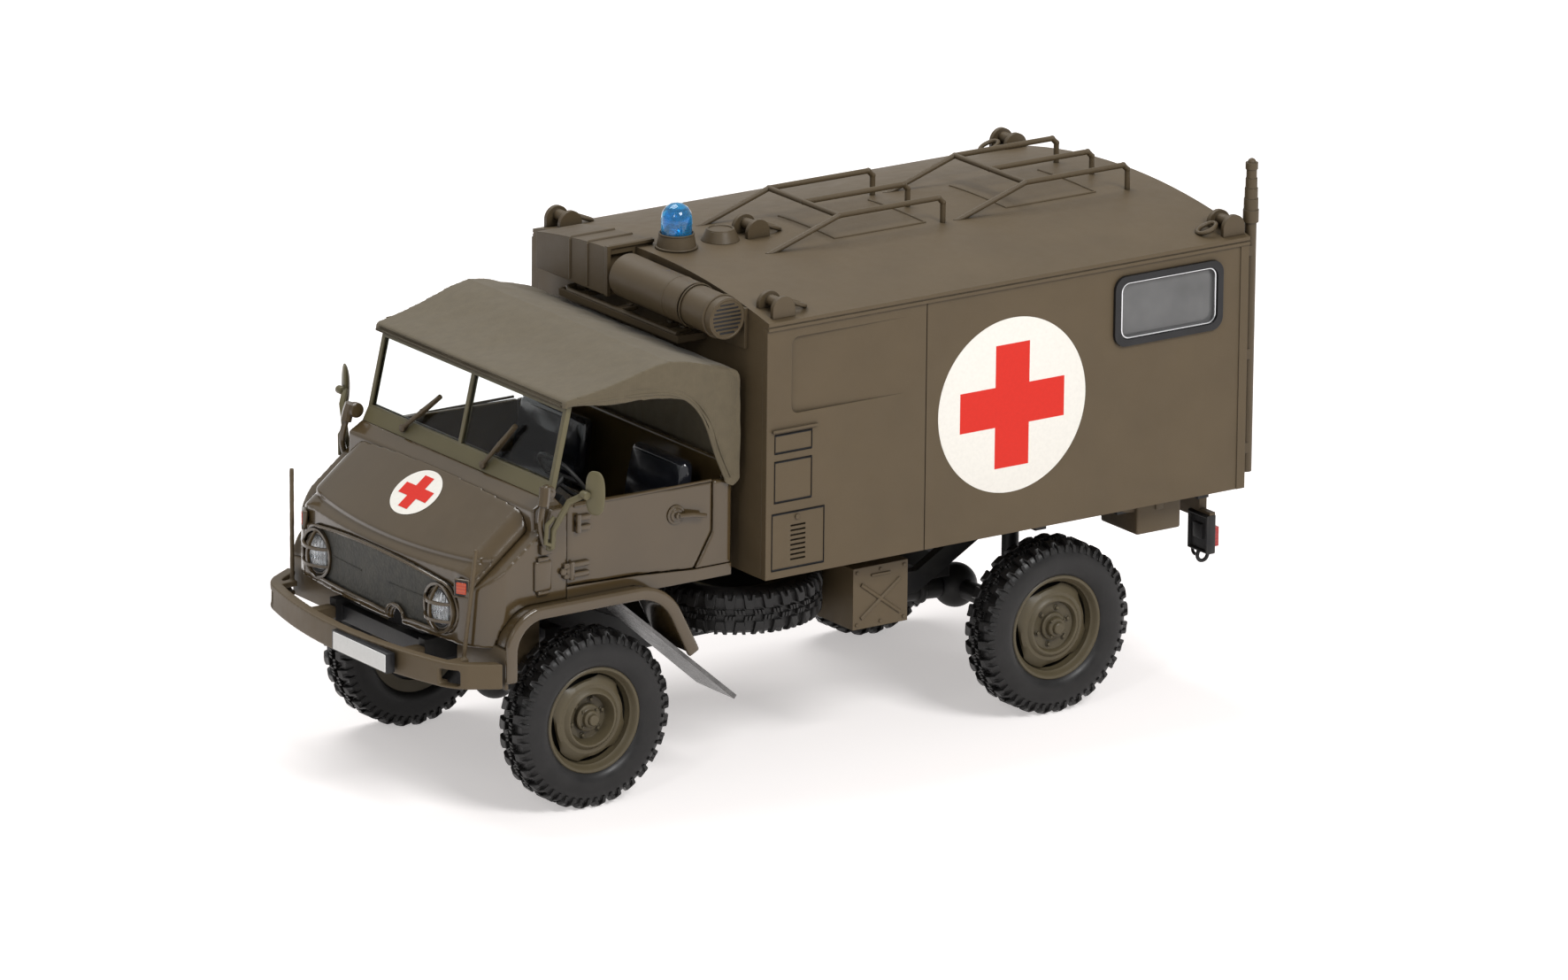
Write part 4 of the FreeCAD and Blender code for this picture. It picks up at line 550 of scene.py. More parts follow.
# (radius, height) profiles outwards from the wheel's middle plane
FLANGE = [(6.2, -2.3), (7.15, -2.5), (8.0, -2.55), (8.05, -2.2), (7.5, -1.7), (7.4, 1.7), (8.0, 2.15),
          (8.03, 2.5), (7.85, 2.62), (7.55, 2.6), (7.32, 2.35), (7.2, 1.95), (6.86, 1.6), (6.78, 1.0),
          (6.62, 0.6)]
FRONT_DISC = [(6.62, 0.9), (6.2, 1.05), (5.75, 1.4), (5.2, 1.65), (4.95, 1.6), (4.65, 1.66), (4.35, 2.0),
              (4.1, 2.2), (3.85, 2.16), (3.68, 1.8), (3.5, 0.9), (3.2, 0.45), (2.1, 0.4)]
FRONT_HUB = [(2.1, 0.4), (2.05, 1.1), (1.9, 1.25), (1.45, 1.3), (1.32, 1.4), (1.27, 2.0), (1.12, 2.15),
             (0.88, 2.2), (0.82, 2.6), (0.72, 2.72), (0.0, 2.76)]
REAR_DISC = [(6.62, 0.9), (6.2, 1.05), (5.75, 1.4), (5.2, 1.7), (4.95, 1.66), (4.7, 1.72), (4.45, 2.0),
             (4.2, 2.15), (3.9, 2.1), (3.72, 1.8), (3.6, 1.4), (3.3, 1.3), (2.0, 1.3)]
REAR_HUB = [(2.15, 1.3), (2.1, 1.75), (1.95, 1.9), (1.6, 1.95), (1.5, 2.6), (1.35, 2.8), (1.0, 2.85),
            (0.9, 3.3), (0.75, 3.42), (0.0, 3.46)]
BRAKE_DRUM = [(0.0, -1.6), (6.6, -1.6), (6.9, -0.9), (6.75, -0.3), (6.2, -0.2), (5.6, -0.4), (3.2, -0.75),
              (0.0, -0.75)]
BLOCK_TAPER, FOOT_SINK, FOOT_SPREAD = 0.9, 0.55, 1.05
VENT_SHARE = TURN / 4
VENT_SWEEP = 0.62
VENT_DEEP = 0.7


def carcass():
    """Smooth body of the tyre, bead to bead, about +Z."""
    half = [(7.9, 2.4), (8.14, 2.72), (8.6, 3.05), (9.3, 3.24), (10.1, 3.28), (10.9, 3.22),
            (11.6, 3.05), (12.2, 2.8), (ROOT_R, 2.4)]
    profile = [(7.9, 0.0)] + half + [(ROOT_R + 0.05, 0.0)] + [(r, -z) for r, z in reversed(half)]
    return turned(profile, PITCHES * 4, closed=True)


def tread_block(bm, outline, middle, foot, top, drop_from, drop, soft):
    """Raised block over an (arc, width) outline, falling away down the shoulder, wrapped round the tyre."""
    part = bmesh.new()
    face = part.faces.new([part.verts.new((arc, width, foot)) for arc, width in outline])
    upper = of_type(bmesh.ops.extrude_face_region(part, geom=[face], use_keep_orig=True), bmesh.types.BMVert)
    for vert in upper:
        vert.co.z = top - max(0.0, abs(vert.co.y) - drop_from) * drop
        vert.co.x *= BLOCK_TAPER
    for vert in part.verts:
        if vert not in upper and abs(vert.co.y) > drop_from:
            vert.co.z -= FOOT_SINK
            vert.co.y *= FOOT_SPREAD
    bmesh.ops.recalc_face_normals(part, faces=part.faces)
    rim = [edge for edge in part.edges if all(vert in upper for vert in edge.verts)]
    bmesh.ops.bevel(part, geom=rim, offset=soft, segments=1, profile=0.5, affect="EDGES", material=-1)
    for vert in part.verts:
        vert.co.z = min(vert.co.z, top)
        arc, width, radius = vert.co
        turn = middle + arc / TYRE_R
        vert.co = (radius * math.cos(turn), radius * math.sin(turn), width)
    join(bm, part)


def tyre_mesh():
    """Tyre about +Z: notched shoulder blocks and a zigzag middle with thin cuts."""
    bm = joined(carcass())
    for side, shift in ((1, 0.0), (-1, 0.5)):
        for index in range(PITCHES):
            middle = PITCH * (index + shift + 0.3)
            horn = [(arc, side * width) for arc, width in HORN]
            tread_block(bm, horn, middle, ROOT_R - 0.3, TYRE_R - 0.06, 2.3, 0.75, 0.1)
            for offset in BAR_OFFSETS:
                bar = [(offset + arc, side * width) for arc, width in BAR]
                tread_block(bm, bar, middle + PITCH * 0.5, ROOT_R - 0.2, TYRE_R - 0.12, 9.0, 0.0, 0.04)
    bmesh.ops.recalc_face_normals(bm, faces=bm.faces)
    return bm


def vented_disc(profile):
    """Turned disc with crescent vents beside the barrel."""
    part = turned(profile, 96)
    outer_r, inner_r = profile[0][0], profile[1][0]

    def polar(place):
        along = (math.atan2(place.y, place.x) + TURN * 2 + 0.25) % VENT_SHARE / VENT_SHARE
        return math.hypot(place.x, place.y), along

    slots = []
    for face in part.faces:
        radius, along = polar(face.calc_center_median())
        if inner_r - 0.05 < radius < outer_r and along < VENT_SWEEP:
            slots.append(face)
    for vert in part.verts:
        radius, along = polar(vert.co)
        if abs(radius - inner_r) < 0.02:
            open_share = max(0.0, math.sin(math.pi * min(1.0, along / VENT_SWEEP)))
            reach = outer_r - 0.06 - VENT_DEEP * math.sqrt(open_share)
            vert.co.x *= reach / radius
            vert.co.y *= reach / radius
    bmesh.ops.delete(part, geom=slots, context="FACES")
    return part


def bolts(bm, count, start, ring, height, *drums):
    """Ring of small drums, given as (radius, depth, soft, tip, segments)."""
    for index in range(count):
        angle = TURN * (index + start) / count
        place = Vector((ring * math.cos(angle), ring * math.sin(angle), height))
        for shape in drums:
            drum(bm, place, UP, *shape)


def rim_mesh(disc, hub, bolt_ring, bolt_z):
    """Wheel rim about +Z with its outer face up."""
    bm = bmesh.new()
    for part in (turned(FLANGE, 96), vented_disc(disc), turned(hub, 40)):
        join(bm, part)
    bolts(bm, 6, 0.25, bolt_ring, bolt_z, (0.34, 0.42, 0.06, 0.30, 6), (0.44, 0.12, 0.03, None, 16))
    hub_face = max(height for radius, height in hub if radius > 1.3)
    bolts(bm, 4, 0.5, hub[0][0] * 0.78, hub_face - 0.1, (0.17, 0.28, 0.03, None, 6))
    return bm


def wheel(body, tyre_shape, name, turn, tyre_node, rim_node):
    """One tyre, rim and brake drum; turn takes +Z to the wheel's outer side."""
    piece(f"lugged_{name}_tyre", joined(tyre_shape.copy(), turn), TYRE, "tyre_rubber", body, [tyre_node])
    shape = (REAR_DISC, REAR_HUB, 2.8, 1.3) if "rear" in name else (FRONT_DISC, FRONT_HUB, 2.75, 0.45)
    piece(f"pressed_{name}_rim", joined(rim_mesh(*shape), turn), RIM_PAINT, "olive_paint", body, [rim_node],
          angle=28)
    piece("brake_drum_" + name, joined(turned(BRAKE_DRUM, 48), turn), CHASSIS, "chassis_black", body)


def wheels():
    shape = tyre_mesh()
    for body, hub in HUBS.items():
        name = body.replace("wheel_", "")
        turn = facing(ACROSS * (LEFT if "left" in body else RIGHT), hub)
        wheel(body, shape, name, turn, "tyre_" + name, "rim_" + name)
    low, high = span("spare_tyre")
    wheel("truck", shape, "spare", facing(-UP, (low + high) / 2), "spare_tyre", "spare_rim")
    shape.free()


# ---------------------------------------------------------------- cab body
NOSE_X = -21.4
CORNER_X, CORNER_Y = -20.1, 18.8
CORNER_REAR_X = -15.4
CAB_SIDE = 25.7
LAMP_Y, LAMP_Z = 16.15, 31.35
GRILLE_LOW = 27.9
SCREEN_FOOT_X, SCREEN_FOOT_Z = -5.93, 49.6
SCREEN_LEAN = (-3.36 + 5.93) / 11.1
LID_HALF, LID_BACK_X, LID_DEPTH = 22.6, -12.0, 0.62


def front_x(y):
    """The bowed front's X at a distance from the middle."""
    y = abs(y)
    if y < CORNER_Y:
        return NOSE_X + (CORNER_X - NOSE_X) * (y / CORNER_Y) ** 2
    share = min(1.0, (y - CORNER_Y) / (CAB_SIDE - CORNER_Y))
    return CORNER_X + (CORNER_REAR_X - CORNER_X) * (1 - math.sqrt(1 - share ** 1.6))


def lid_step(co):
    """Sinks the brow under the bonnet lid's front edge."""
    crease = 38.9 + 0.0016 * co.y * co.y
    below = min(1.0, max(0.0, (crease - co.z) / 0.5))
    if abs(co.y) > LID_HALF or co.x > LID_BACK_X:
        return co
    sink = LID_DEPTH * below * below * (3 - 2 * below)
    return co + Vector((0.8, 0, -0.6)) * sink


def body_work():
    """Pressed cab panels with relaxed edges."""
    for node, material, grain, rounds, carve in (
            ("bonnet", CAB_PAINT, 0.2, 3, lid_step), ("cab_nose", CAB_PAINT, 0.24, 2, None),
            ("fenders", CAB_PAINT, 0.24, 6, None), ("doors", CAB_PAINT, 0.26, 1, None),
            ("front_bumper", BOX_PAINT, 0.19, 2, None), ("cab_rear", CAB_PAINT, 0.28, 1, None)):
        panel = relaxed_copy(node, grain, rounds, carve)
        piece("pressed_" + node, panel, material, stands_for=[node], angle=80)


def aprons():
    """Panels that close the gap between the fenders' front feet, the nose and the bumper."""
    bm = bmesh.new()
    block(bm, (-17.0, -28.2, 21.4), (-16.4, -15.5, 27.4), 0.2)
    block(bm, (-16.8, -18.6, 20.4), (-4.6, -18.0, 31.5), 0.2)
    mirrored(bm)
    piece("fender_aprons", bm, ROOF_PAINT)


def grille_line(steps=18):
    """Outline of the grille opening, clockwise from its lower left corner, as (y, z)."""
    top, crown = 35.45, 36.65
    reach, reach_down = 4.1, 3.45
    points = [(-LAMP_Y, GRILLE_LOW)]
    for index in range(1, steps):
        angle = -math.pi / 2 - math.pi * index / steps
        rise = reach if angle < -math.pi else reach_down
        points.append((-LAMP_Y + reach * math.cos(angle), LAMP_Z + rise * math.sin(angle)))
    for index in range(steps + 1):
        y = -LAMP_Y + 2 * LAMP_Y * index / steps
        points.append((y, top + (crown - top) * (1 - (y / LAMP_Y) ** 2)))
    return points + [(-y, z) for y, z in reversed(points[1:steps])] + [(LAMP_Y, GRILLE_LOW)]


def grille_trim():
    """Raised bead round the grille, arched over the crank hole, and the panel's fine crease."""
    bm = bmesh.new()
    arch = [math.pi * index / 10 for index in range(11)]
    line = grille_line() + [(y, GRILLE_LOW) for y in (12.0, 8.0, 4.0, 0.0)]
    line += [(-5.8 + 2.1 * math.cos(a), 27.6 + 1.75 * math.sin(a)) for a in arch]
    line += [(y, GRILLE_LOW) for y in (-10.0, -13.0)]
    wire(bm, [(front_x(y) - 0.02, y, z) for y, z in line], 0.26, closed=True)
    piece("grille_bead", bm, CAB_PAINT)
    crease = bmesh.new()
    for y0, y1 in ((-12.0, -3.6), (3.6, 12.0)):
        spots = [y0 + (y1 - y0) * index / 6 for index in range(7)]
        wire(crease, [(front_x(y) + 0.42, y, 32.0) for y in spots], 0.12)
    piece("grille_crease", crease, GRILLE_PAINT)


def indicators():
    """Small amber lenses in painted frames on the nose's round corners, each with a black block of painted
    shade in its recess.
    """
    for side, word in SIDES:
        matrix = facing((-0.86, side * 0.51, 0.0), (front_x(20.9) + 0.05, side * 20.9, 35.45))
        rim, recess, lens = bmesh.new(), bmesh.new(), bmesh.new()
        turned_block(rim, matrix, (-1.25, -1.4, -0.5), (1.25, 1.3, 0.22), 0.2, 3)
        turned_block(rim, matrix, (-1.25, -1.5, -0.2), (1.25, -1.2, 0.42), 0.12, 3)
        # painted shade: a black block stands for the shade in the recess round the lens
        turned_block(recess, matrix, (-1.05, -1.15, -0.1), (1.05, 1.12, 0.27), 0.06)
        turned_block(lens, matrix, (-0.8, -0.9, 0.05), (0.8, 0.85, 0.42), 0.16, 3)
        piece("indicator_recess_" + word, recess, SEAL, "window_rubber")
        piece("indicator_frame_" + word, rim, CAB_PAINT)
        piece("indicator_lens_" + word, lens, AMBER, "amber_lens", stands_for=named_once(side, "indicators"))


def number_plate():
    """Blank plate in a black holder on the bumper."""
    low, high = span("number_plate")
    holder, face = bmesh.new(), bmesh.new()
    block(holder, (low.x + 0.15, -14.35, low.z), (low.x + 1.6, 0.15, high.z), 0.12)
    piece("plate_holder", holder, SEAL, "window_rubber")
    block(face, (low.x, -14.1, low.z + 0.2), (low.x + 0.5, -0.35, high.z - 0.2), 0.08)
    piece("plate_face", face, PLATE_FILM, "plate_white", stands_for=["number_plate"])


def on_screen(y, z, out):
    """Point in front of the windscreen by that much."""
    return Vector((SCREEN_FOOT_X + (z - SCREEN_FOOT_Z) * SCREEN_LEAN - out, y, z))


def wipers():
    """Two wiper arms with blades, hinged on the windscreen's foot."""
    bm = bmesh.new()
    for foot_y, foot_z, tip_y, tip_z in ((13.6, 48.9, 6.2, 55.2), (-7.6, 48.6, -13.4, 55.6)):
        foot = on_screen(foot_y, foot_z, 0.5)
        tip = on_screen(tip_y, tip_z, 0.95)
        middle = foot.lerp(tip, 0.55) + AHEAD * 0.45
        blade_foot = on_screen(foot_y + (tip_y - foot_y) * 0.36, foot_z + (tip_z - foot_z) * 0.36, 0.72)
        drum(bm, foot, AHEAD, 0.5, 0.9, 0.1, segments=16)
        drum(bm, foot + AHEAD * 0.6, AHEAD, 0.62, 0.35, 0.1, segments=16)
        wire(bm, [foot + AHEAD * 0.7, middle, tip.lerp(middle, 0.25)], 0.36)
        wire(bm, [blade_foot, tip], 0.4)
        wire(bm, [blade_foot + AHEAD * 0.35, tip + AHEAD * 0.35], 0.24)
        drum(bm, middle + AHEAD * -0.1, AHEAD, 0.36, 0.4, 0.08, segments=12)
    piece("wipers", bm, ROOF_PAINT)


def screen_pivots():
    """Hinge bosses and curved struts that carry the folding windscreen."""
    bm = bmesh.new()
    top = Vector((-7.9, -24.6, 48.9))
    drum(bm, top, -ACROSS, 1.15, 1.3, 0.25, segments=28)
    drum(bm, top - ACROSS * 1.3, -ACROSS, 0.6, 0.35, 0.1, segments=6)
    wire(bm, [(-8.5, -25.6, 49.9), (-8.8, -25.9, 48.6), (-9.1, -26.0, 47.2)], 0.85)
    wire(bm, [(-9.0, -25.9, 47.6), (-9.7, -26.1, 45.6), (-9.6, -26.2, 43.2), (-8.7, -26.1, 41.0)], 0.5,
         smooth=True)
    block(bm, (-9.6, -26.4, 39.9), (-7.7, -25.5, 41.5), 0.3)
    mirrored(bm)
    piece("screen_pivots", bm, CAB_PAINT)


def screen_rails():
    """Rail beads and rivets along the foot of the folding windscreen."""
    bm = bmesh.new()
    for x, z in ((-6.35, 48.9), (-6.9, 47.75)):
        wire(bm, [(x, -23.6, z), (x, 23.6, z)], 0.3)
    for y in (12.6, 14.6, -6.6, -8.6):
        drum(bm, (-6.2, y, 49.0), AHEAD, 0.28, 0.35, 0.08, segments=10)
    piece("screen_rails", bm, SCREEN_PAINT)


def mirror_head():
    """Rounded oblong pad with a flatter face."""
    part = bmesh.new()
    bmesh.ops.create_uvsphere(part, u_segments=36, v_segments=24, radius=1.0)
    for vert in part.verts:
        x, y, z = vert.co
        flat = math.hypot(y, z) / max(1e-6, (abs(y) ** 2.8 + abs(z) ** 2.8) ** (1 / 2.8))
        vert.co = (x * (0.8 if x > 0 else 0.45), y * flat * 1.57, z * flat * 3.3)
    return part


def mirror_arms():
    """Round-backed mirrors on looped arms."""
    bm = bmesh.new()
    head = Vector((-5.1, -33.0, 50.25))
    foot = Vector((-8.2, -25.7, 41.3))
    swing = Matrix.Rotation(math.radians(28), 4, "Z")
    join(bm, mirror_head(), Matrix.Translation(head + Vector((0.3, 0.05, 0))) @ swing)
    wire(bm, [foot + ACROSS * 0.2, foot - ACROSS * 1.3, foot - ACROSS * 1.6 + UP * 2.6, (-7.2, -29.9, 48.6),
              head + Vector((-0.4, 1.3, -0.3))], 0.5)
    wire(bm, [foot - ACROSS * 1.3 + UP * 0.2, (-9.4, -27.1, 42.0), (-9.3, -27.3, 44.8),
              foot - ACROSS * 1.9 + UP * 4.6], 0.36)
    drum(bm, foot, -ACROSS, 0.8, 1.0, 0.2, segments=20)
    drum(bm, head + Vector((-0.9, 0.2, -0.3)), ACROSS, 0.62, 1.4, 0.15, segments=16)
    mirrored(bm)
    piece("mirror_arms", bm, SCREEN_PAINT, stands_for=["mirrors"])


def door_fittings():
    """Hinges, handles, a stiffening line and a raised cover on each of the cab's sides."""
    bm = bmesh.new()
    skin = -CAB_SIDE
    for x, z, length in ((-2.9, 43.7, 2.6), (-4.0, 36.8, 4.4)):
        for offset in (-0.75, 0.75):
            block(bm, (x - length / 2 + 0.7, skin - 0.55, z + offset - 0.42),
                  (x + length / 2 + 0.7, skin + 0.2, z + offset + 0.42), 0.18)
        wire(bm, [(x - 0.2, skin - 0.45, z - 1.35), (x - 0.2, skin - 0.45, z + 1.35)], 0.42)
    for x in (-5.2, -4.2):
        drum(bm, (x - 0.4, skin, 36.8), -ACROSS, 0.55, 0.6, 0.15, segments=14)
    for out, radius, depth, soft, segments in ((0, 1.05, 0.45, 0.2, 24), (0.4, 0.5, 0.6, 0.12, 16),
                                               (0.05, 1.5, 0.16, 0.06, 28)):
        drum(bm, (14.2, skin - out, 42.1), -ACROSS, radius, depth, soft, segments=segments)
    wire(bm, [(14.2, skin - 0.9, 42.1), (16.4, skin - 1.05, 42.0), (18.9, skin - 0.95, 41.4)], 0.36)
    cover = Vector((-9.05, skin - 0.12, 36.75))
    turned_block(bm, Matrix.Translation(cover), (-1.45, -0.35, -2.3), (1.45, 0.35, 2.3), 0.3, 3)
    for z in (39.3, 34.2):
        block(bm, (-10.0, skin - 0.5, z - 0.3), (-8.1, skin + 0.1, z + 0.3), 0.14)
    wire(bm, [(-3.6, skin - 0.02, 46.3), (20.4, skin - 0.02, 46.3)], 0.22)
    mirrored(bm)
    piece("door_fittings", bm, CAB_PAINT)


# ---------------------------------------------------------------- box body fittings
BOX_SIDE = 30.31
FRONT_LUG_X, REAR_LUG_X, MIDDLE_LUG_X = 30.26, 111.5, 44.9
HEATER_AXIS = Vector((23.3, -25.3, 70.06))
HEATER_RUN = Vector((0, 25.6, 0.5)).normalized()


def skin_of(node):
    """Search tree of a CAD node in the shaping millimetres."""
    bm = node_mesh(node)
    tree = BVHTree.FromBMesh(bm)
    bm.free()
    return tree


def height_at(tree, x, y):
    """Height of the skin over a point."""
    return tree.ray_cast(Vector((x, y, 99.0)), -UP)[0].z


ROOF = skin_of("box_roof")


def roof_pressings():
    """Low raised frames pressed into the roof under each rack."""
    bm = bmesh.new()
    y0, y1 = -8.0, 6.4
    for x0, x1 in ((54.4, 70.7), (85.5, 101.8)):
        path = [(x0, y1), (x0, y0), (x1, y0), (x1, y1)]
        spots = [(xa + (xb - xa) * step / 6, ya + (yb - ya) * step / 6)
                 for (xa, ya), (xb, yb) in zip(path, path[1:]) for step in range(6)] + path[-1:]
        wire(bm, [(x, y, height_at(ROOF, x, y) + 0.02) for x, y in spots], 0.2)
    piece("roof_pressings", bm, BOX_PAINT)


def lug_rings():
    """Shackle rings lying on the roof beside the lifting lugs."""
    bm = bmesh.new()
    long, wide, tilt = 1.5, 1.15, -0.55
    for x, side, way in ((FRONT_LUG_X, LEFT, 1), (FRONT_LUG_X, RIGHT, 1), (REAR_LUG_X, LEFT, -1),
                         (REAR_LUG_X, RIGHT, -1), (MIDDLE_LUG_X, 0, 1)):
        place = Vector((x + 3.5 * way, side * 27.55, 0))
        place.z = height_at(ROOF, place.x, place.y) + 0.75
        ring = [(long * math.cos(angle), wide * math.sin(angle), tilt * math.cos(angle) * way)
                for angle in whole_turn(20)]
        wire(bm, [place + Vector(point) for point in ring], 0.34, closed=True)
    piece("lug_rings", bm, ROOF_PAINT)


def cap_rings():
    """Raised rim on the roof vent's cap and the beacon's foot."""
    bm = bmesh.new()
    cap_x, beacon_x = 39.5, 31.7
    hoop(bm, (cap_x, 0, height_at(skin_of("roof_caps"), cap_x, 0)), UP, 1.95, 0.2, 36)
    hoop(bm, (beacon_x, 0, 75.75), UP, 2.55, 0.16, 36)
    hoop(bm, (beacon_x, 0, 73.75), UP, 3.0, 0.2, 36)
    piece("cap_rings", bm, ROOF_PAINT)


def beacon():
    """Blue dome over its reflector and bulb."""
    low, high = span("beacon_lens")
    radius = (high.x - low.x) / 2
    top = high.z - low.z
    foot = Vector(((low.x + high.x) / 2, 0, low.z))
    shell = [(0.0, top), (radius * 0.4, top - radius * 0.085), (radius * 0.74, top - radius * 0.33),
             (radius * 0.93, top - radius * 0.64), (radius, top - radius), (radius, 0.0),
             (radius * 0.86, 0.0), (radius * 0.86, top - radius), (radius * 0.6, top - radius * 0.42),
             (0.0, top - radius * 0.16)]
    dome = bmesh.new()
    lathe(dome, shell, foot, UP, 48)
    piece("beacon_dome", dome, BLUE, "blue_lens", stands_for=["beacon_lens"])
    lamp = bmesh.new()
    drum(lamp, foot, UP, 1.25, 0.9, 0.1, tip=0.9, segments=24)
    drum(lamp, foot + UP * 0.8, UP, 0.42, 1.9, 0.15, tip=0.36, segments=16)
    mirror = ((-0.9, 1.0), (0.9, 1.0), (0.8, 3.0), (-0.8, 3.0))
    plate(lamp, [foot + Vector((x, 0.35, z)) for x, z in mirror], ACROSS, 0.15)
    piece("beacon_lamp", lamp, BRIGHT, "blue_lens")


def heater_at(y):
    """Point on the heater's axis."""
    return HEATER_AXIS + HEATER_RUN * (y - HEATER_AXIS.y)


def heater_trim():
    """Seams, grooves and slotted end of the heater's pipe, its slots dark blocks of painted shade."""
    bm, slots = bmesh.new(), bmesh.new()
    for y, radius, thick in ((-13.2, 3.24, 0.14), (-17.1, 3.26, 0.12), (-17.7, 3.26, 0.12),
                             (-23.7, 3.14, 0.22), (-25.2, 2.85, 0.2)):
        hoop(bm, heater_at(y), HEATER_RUN, radius, thick, 48)
    piece("heater_bands", bm, ROOF_PAINT)
    # painted shade: dark blocks stand for the shade inside the end's slots
    for index in range(8):
        rise = -2.1 + 4.2 * index / 7
        half = math.sqrt(2.45 ** 2 - rise ** 2)
        centre = heater_at(-25.3) + UP * rise
        block(slots, centre - Vector((half, 0.07, 0.14)), centre + Vector((half, 0.2, 0.14)), 0.04, 1)
    piece("heater_slots", slots, SEAL, "window_rubber")


def shelf_rail():
    """Tube rail with a rounded end and clamps along the shelf over the cab."""
    low, high = span("front_shelf")
    bm = bmesh.new()
    front, rise = low.x + 0.5, high.z + 0.1
    wire(bm, [(front, low.y + 0.8, rise), (front, high.y - 2.0, rise),
              (front + 0.6, high.y - 0.9, rise + 0.1), (front + 2.2, high.y - 0.6, rise + 0.1),
              (front + 3.0, high.y - 2.2, rise)], 0.42)
    for y in (low.y + 2.5, -9.0, 1.5, high.y - 5.0):
        block(bm, (front - 0.3, y - 0.8, rise - 0.3), (front + 3.2, y + 0.8, rise + 0.35), 0.2)
        drum(bm, (front + 2.2, y, rise + 0.3), UP, 0.5, 0.35, 0.1, segments=12)
    piece("shelf_rail", bm, ROOF_PAINT)


def housing_ribs():
    """Pressed ribs and beaded lip of the air housing."""
    bm = bmesh.new()
    shape = skin_of("air_housing")
    for y in (13.4, 8.8):
        top = height_at(shape, 24.5, y)
        wire(bm, [(22.03, y, 67.2), (22.03, y, top - 0.35), (22.35, y, top + 0.02),
                  (29.8, y, height_at(shape, 28.0, y) + 0.02)], 0.26)
    top, lip = height_at(shape, 24.5, 4.0), 3.7
    wire(bm, [(22.1, lip, 66.9), (22.1, lip, top - 0.5), (22.5, lip, top - 0.02), (29.9, lip, top + 0.02)],
         0.42)
    piece("housing_ribs", bm, ROOF_PAINT)


def islands(bm):
    """The mesh's vertices, as one list for each connected shell."""
    left = dict.fromkeys(bm.verts)
    while left:
        stack = [left.popitem()[0]]
        shell = list(stack)
        while stack:
            for edge in stack.pop().link_edges:
                for vert in edge.verts:
                    if vert in left:
                        del left[vert]
                        stack.append(vert)
                        shell.append(vert)
        yield shell


def cover_seams():
    """Dark shut lines round the hatches in the box side."""
    bm = bmesh.new()
    shortest, longest, margin = 3, 14, 0.08
    source = node_mesh("side_covers")
    for shell in islands(source):
        xs, ys, zs = zip(*(vert.co for vert in shell))
        if shortest < max(xs) - min(xs) < longest:
            x0, x1, z0, z1 = min(xs) - margin, max(xs) + margin, min(zs) - margin, max(zs) + margin
            y = BOX_SIDE * (LEFT if sum(ys) < 0 else RIGHT)
            wire(bm, [(x0, y, z0), (x1, y, z0), (x1, y, z1), (x0, y, z1)], 0.11, closed=True, rounding=1)
    source.free()
    piece("cover_seams", bm, SEAL, "window_rubber")


def tail_fittings():
    """Locker and strut under the body's rear corner, and the black carriers of the tail lamps."""
    locker, carriers = bmesh.new(), bmesh.new()
    block(locker, (97.9, -25.2, 24.9), (106.0, -16.0, 31.2), 0.35, 3)
    block(locker, (98.3, -25.4, 30.0), (105.6, -24.9, 30.5), 0.15)
    block(locker, (101.2, -25.45, 28.4), (102.6, -24.9, 30.2), 0.15)
    strut = ((90.5, 31.1), (98.0, 31.1), (98.0, 28.4), (96.2, 28.6))
    plate(locker, [(x, -24.6, z) for x, z in strut], ACROSS, 1.0, 0.1)
    piece("tail_locker", locker, BOX_PAINT)
    block(carriers, (111.65, -24.8, 19.5), (112.95, -19.7, 25.6), 0.2, 3)
    cage = ((-24.5, 19.8), (-20.0, 19.8), (-20.0, 25.3), (-24.5, 25.3))
    wire(carriers, [(111.6, y, z) for y, z in cage], 0.32, closed=True)
    block(carriers, (111.3, -23.4, 21.6), (111.8, -21.1, 24.0), 0.15)
    hoop(carriers, (112.3, -22.4, 18.9), ACROSS, 0.95, 0.3, 20)
    hoop(carriers, (112.3, -20.6, 19.2), AHEAD, 0.7, 0.26, 18)
    mirrored(carriers)
    piece("lamp_carriers", carriers, CHASSIS, "chassis_black")


def raised_gearbox(co):
    """Keeps the gearbox's underside clear of the view under the spare wheel."""
    underside = 16.2
    if 33.5 < co.x < 54.5 and co.z < underside:
        return Vector((co.x, co.y, underside - 0.15 * (underside - co.z)))
    return co


def drive_line():
    """Gearbox with its flanges, the tubes to both axles and their joints."""
    bm = relaxed_copy("drive_train", 0.3, 2, raised_gearbox)
    for x in (36.5, 44.0, 51.5):
        block(bm, (x - 0.5, -4.9, 15.9), (x + 0.5, 4.9, 17.6), 0.2)
    flange = [(2.05, -0.45), (2.2, -0.3), (2.2, 0.3), (2.05, 0.45), (1.4, 0.5), (1.4, -0.5)]
    for x, z in ((8.0, 13.75), (31.5, 15.0), (58.0, 14.9), (76.0, 13.8)):
        lathe(bm, flange, (x, 0, z), AHEAD, 28, closed=True)
    piece("drive_line", bm, CHASSIS, "chassis_black", stands_for=["drive_train"], angle=50)


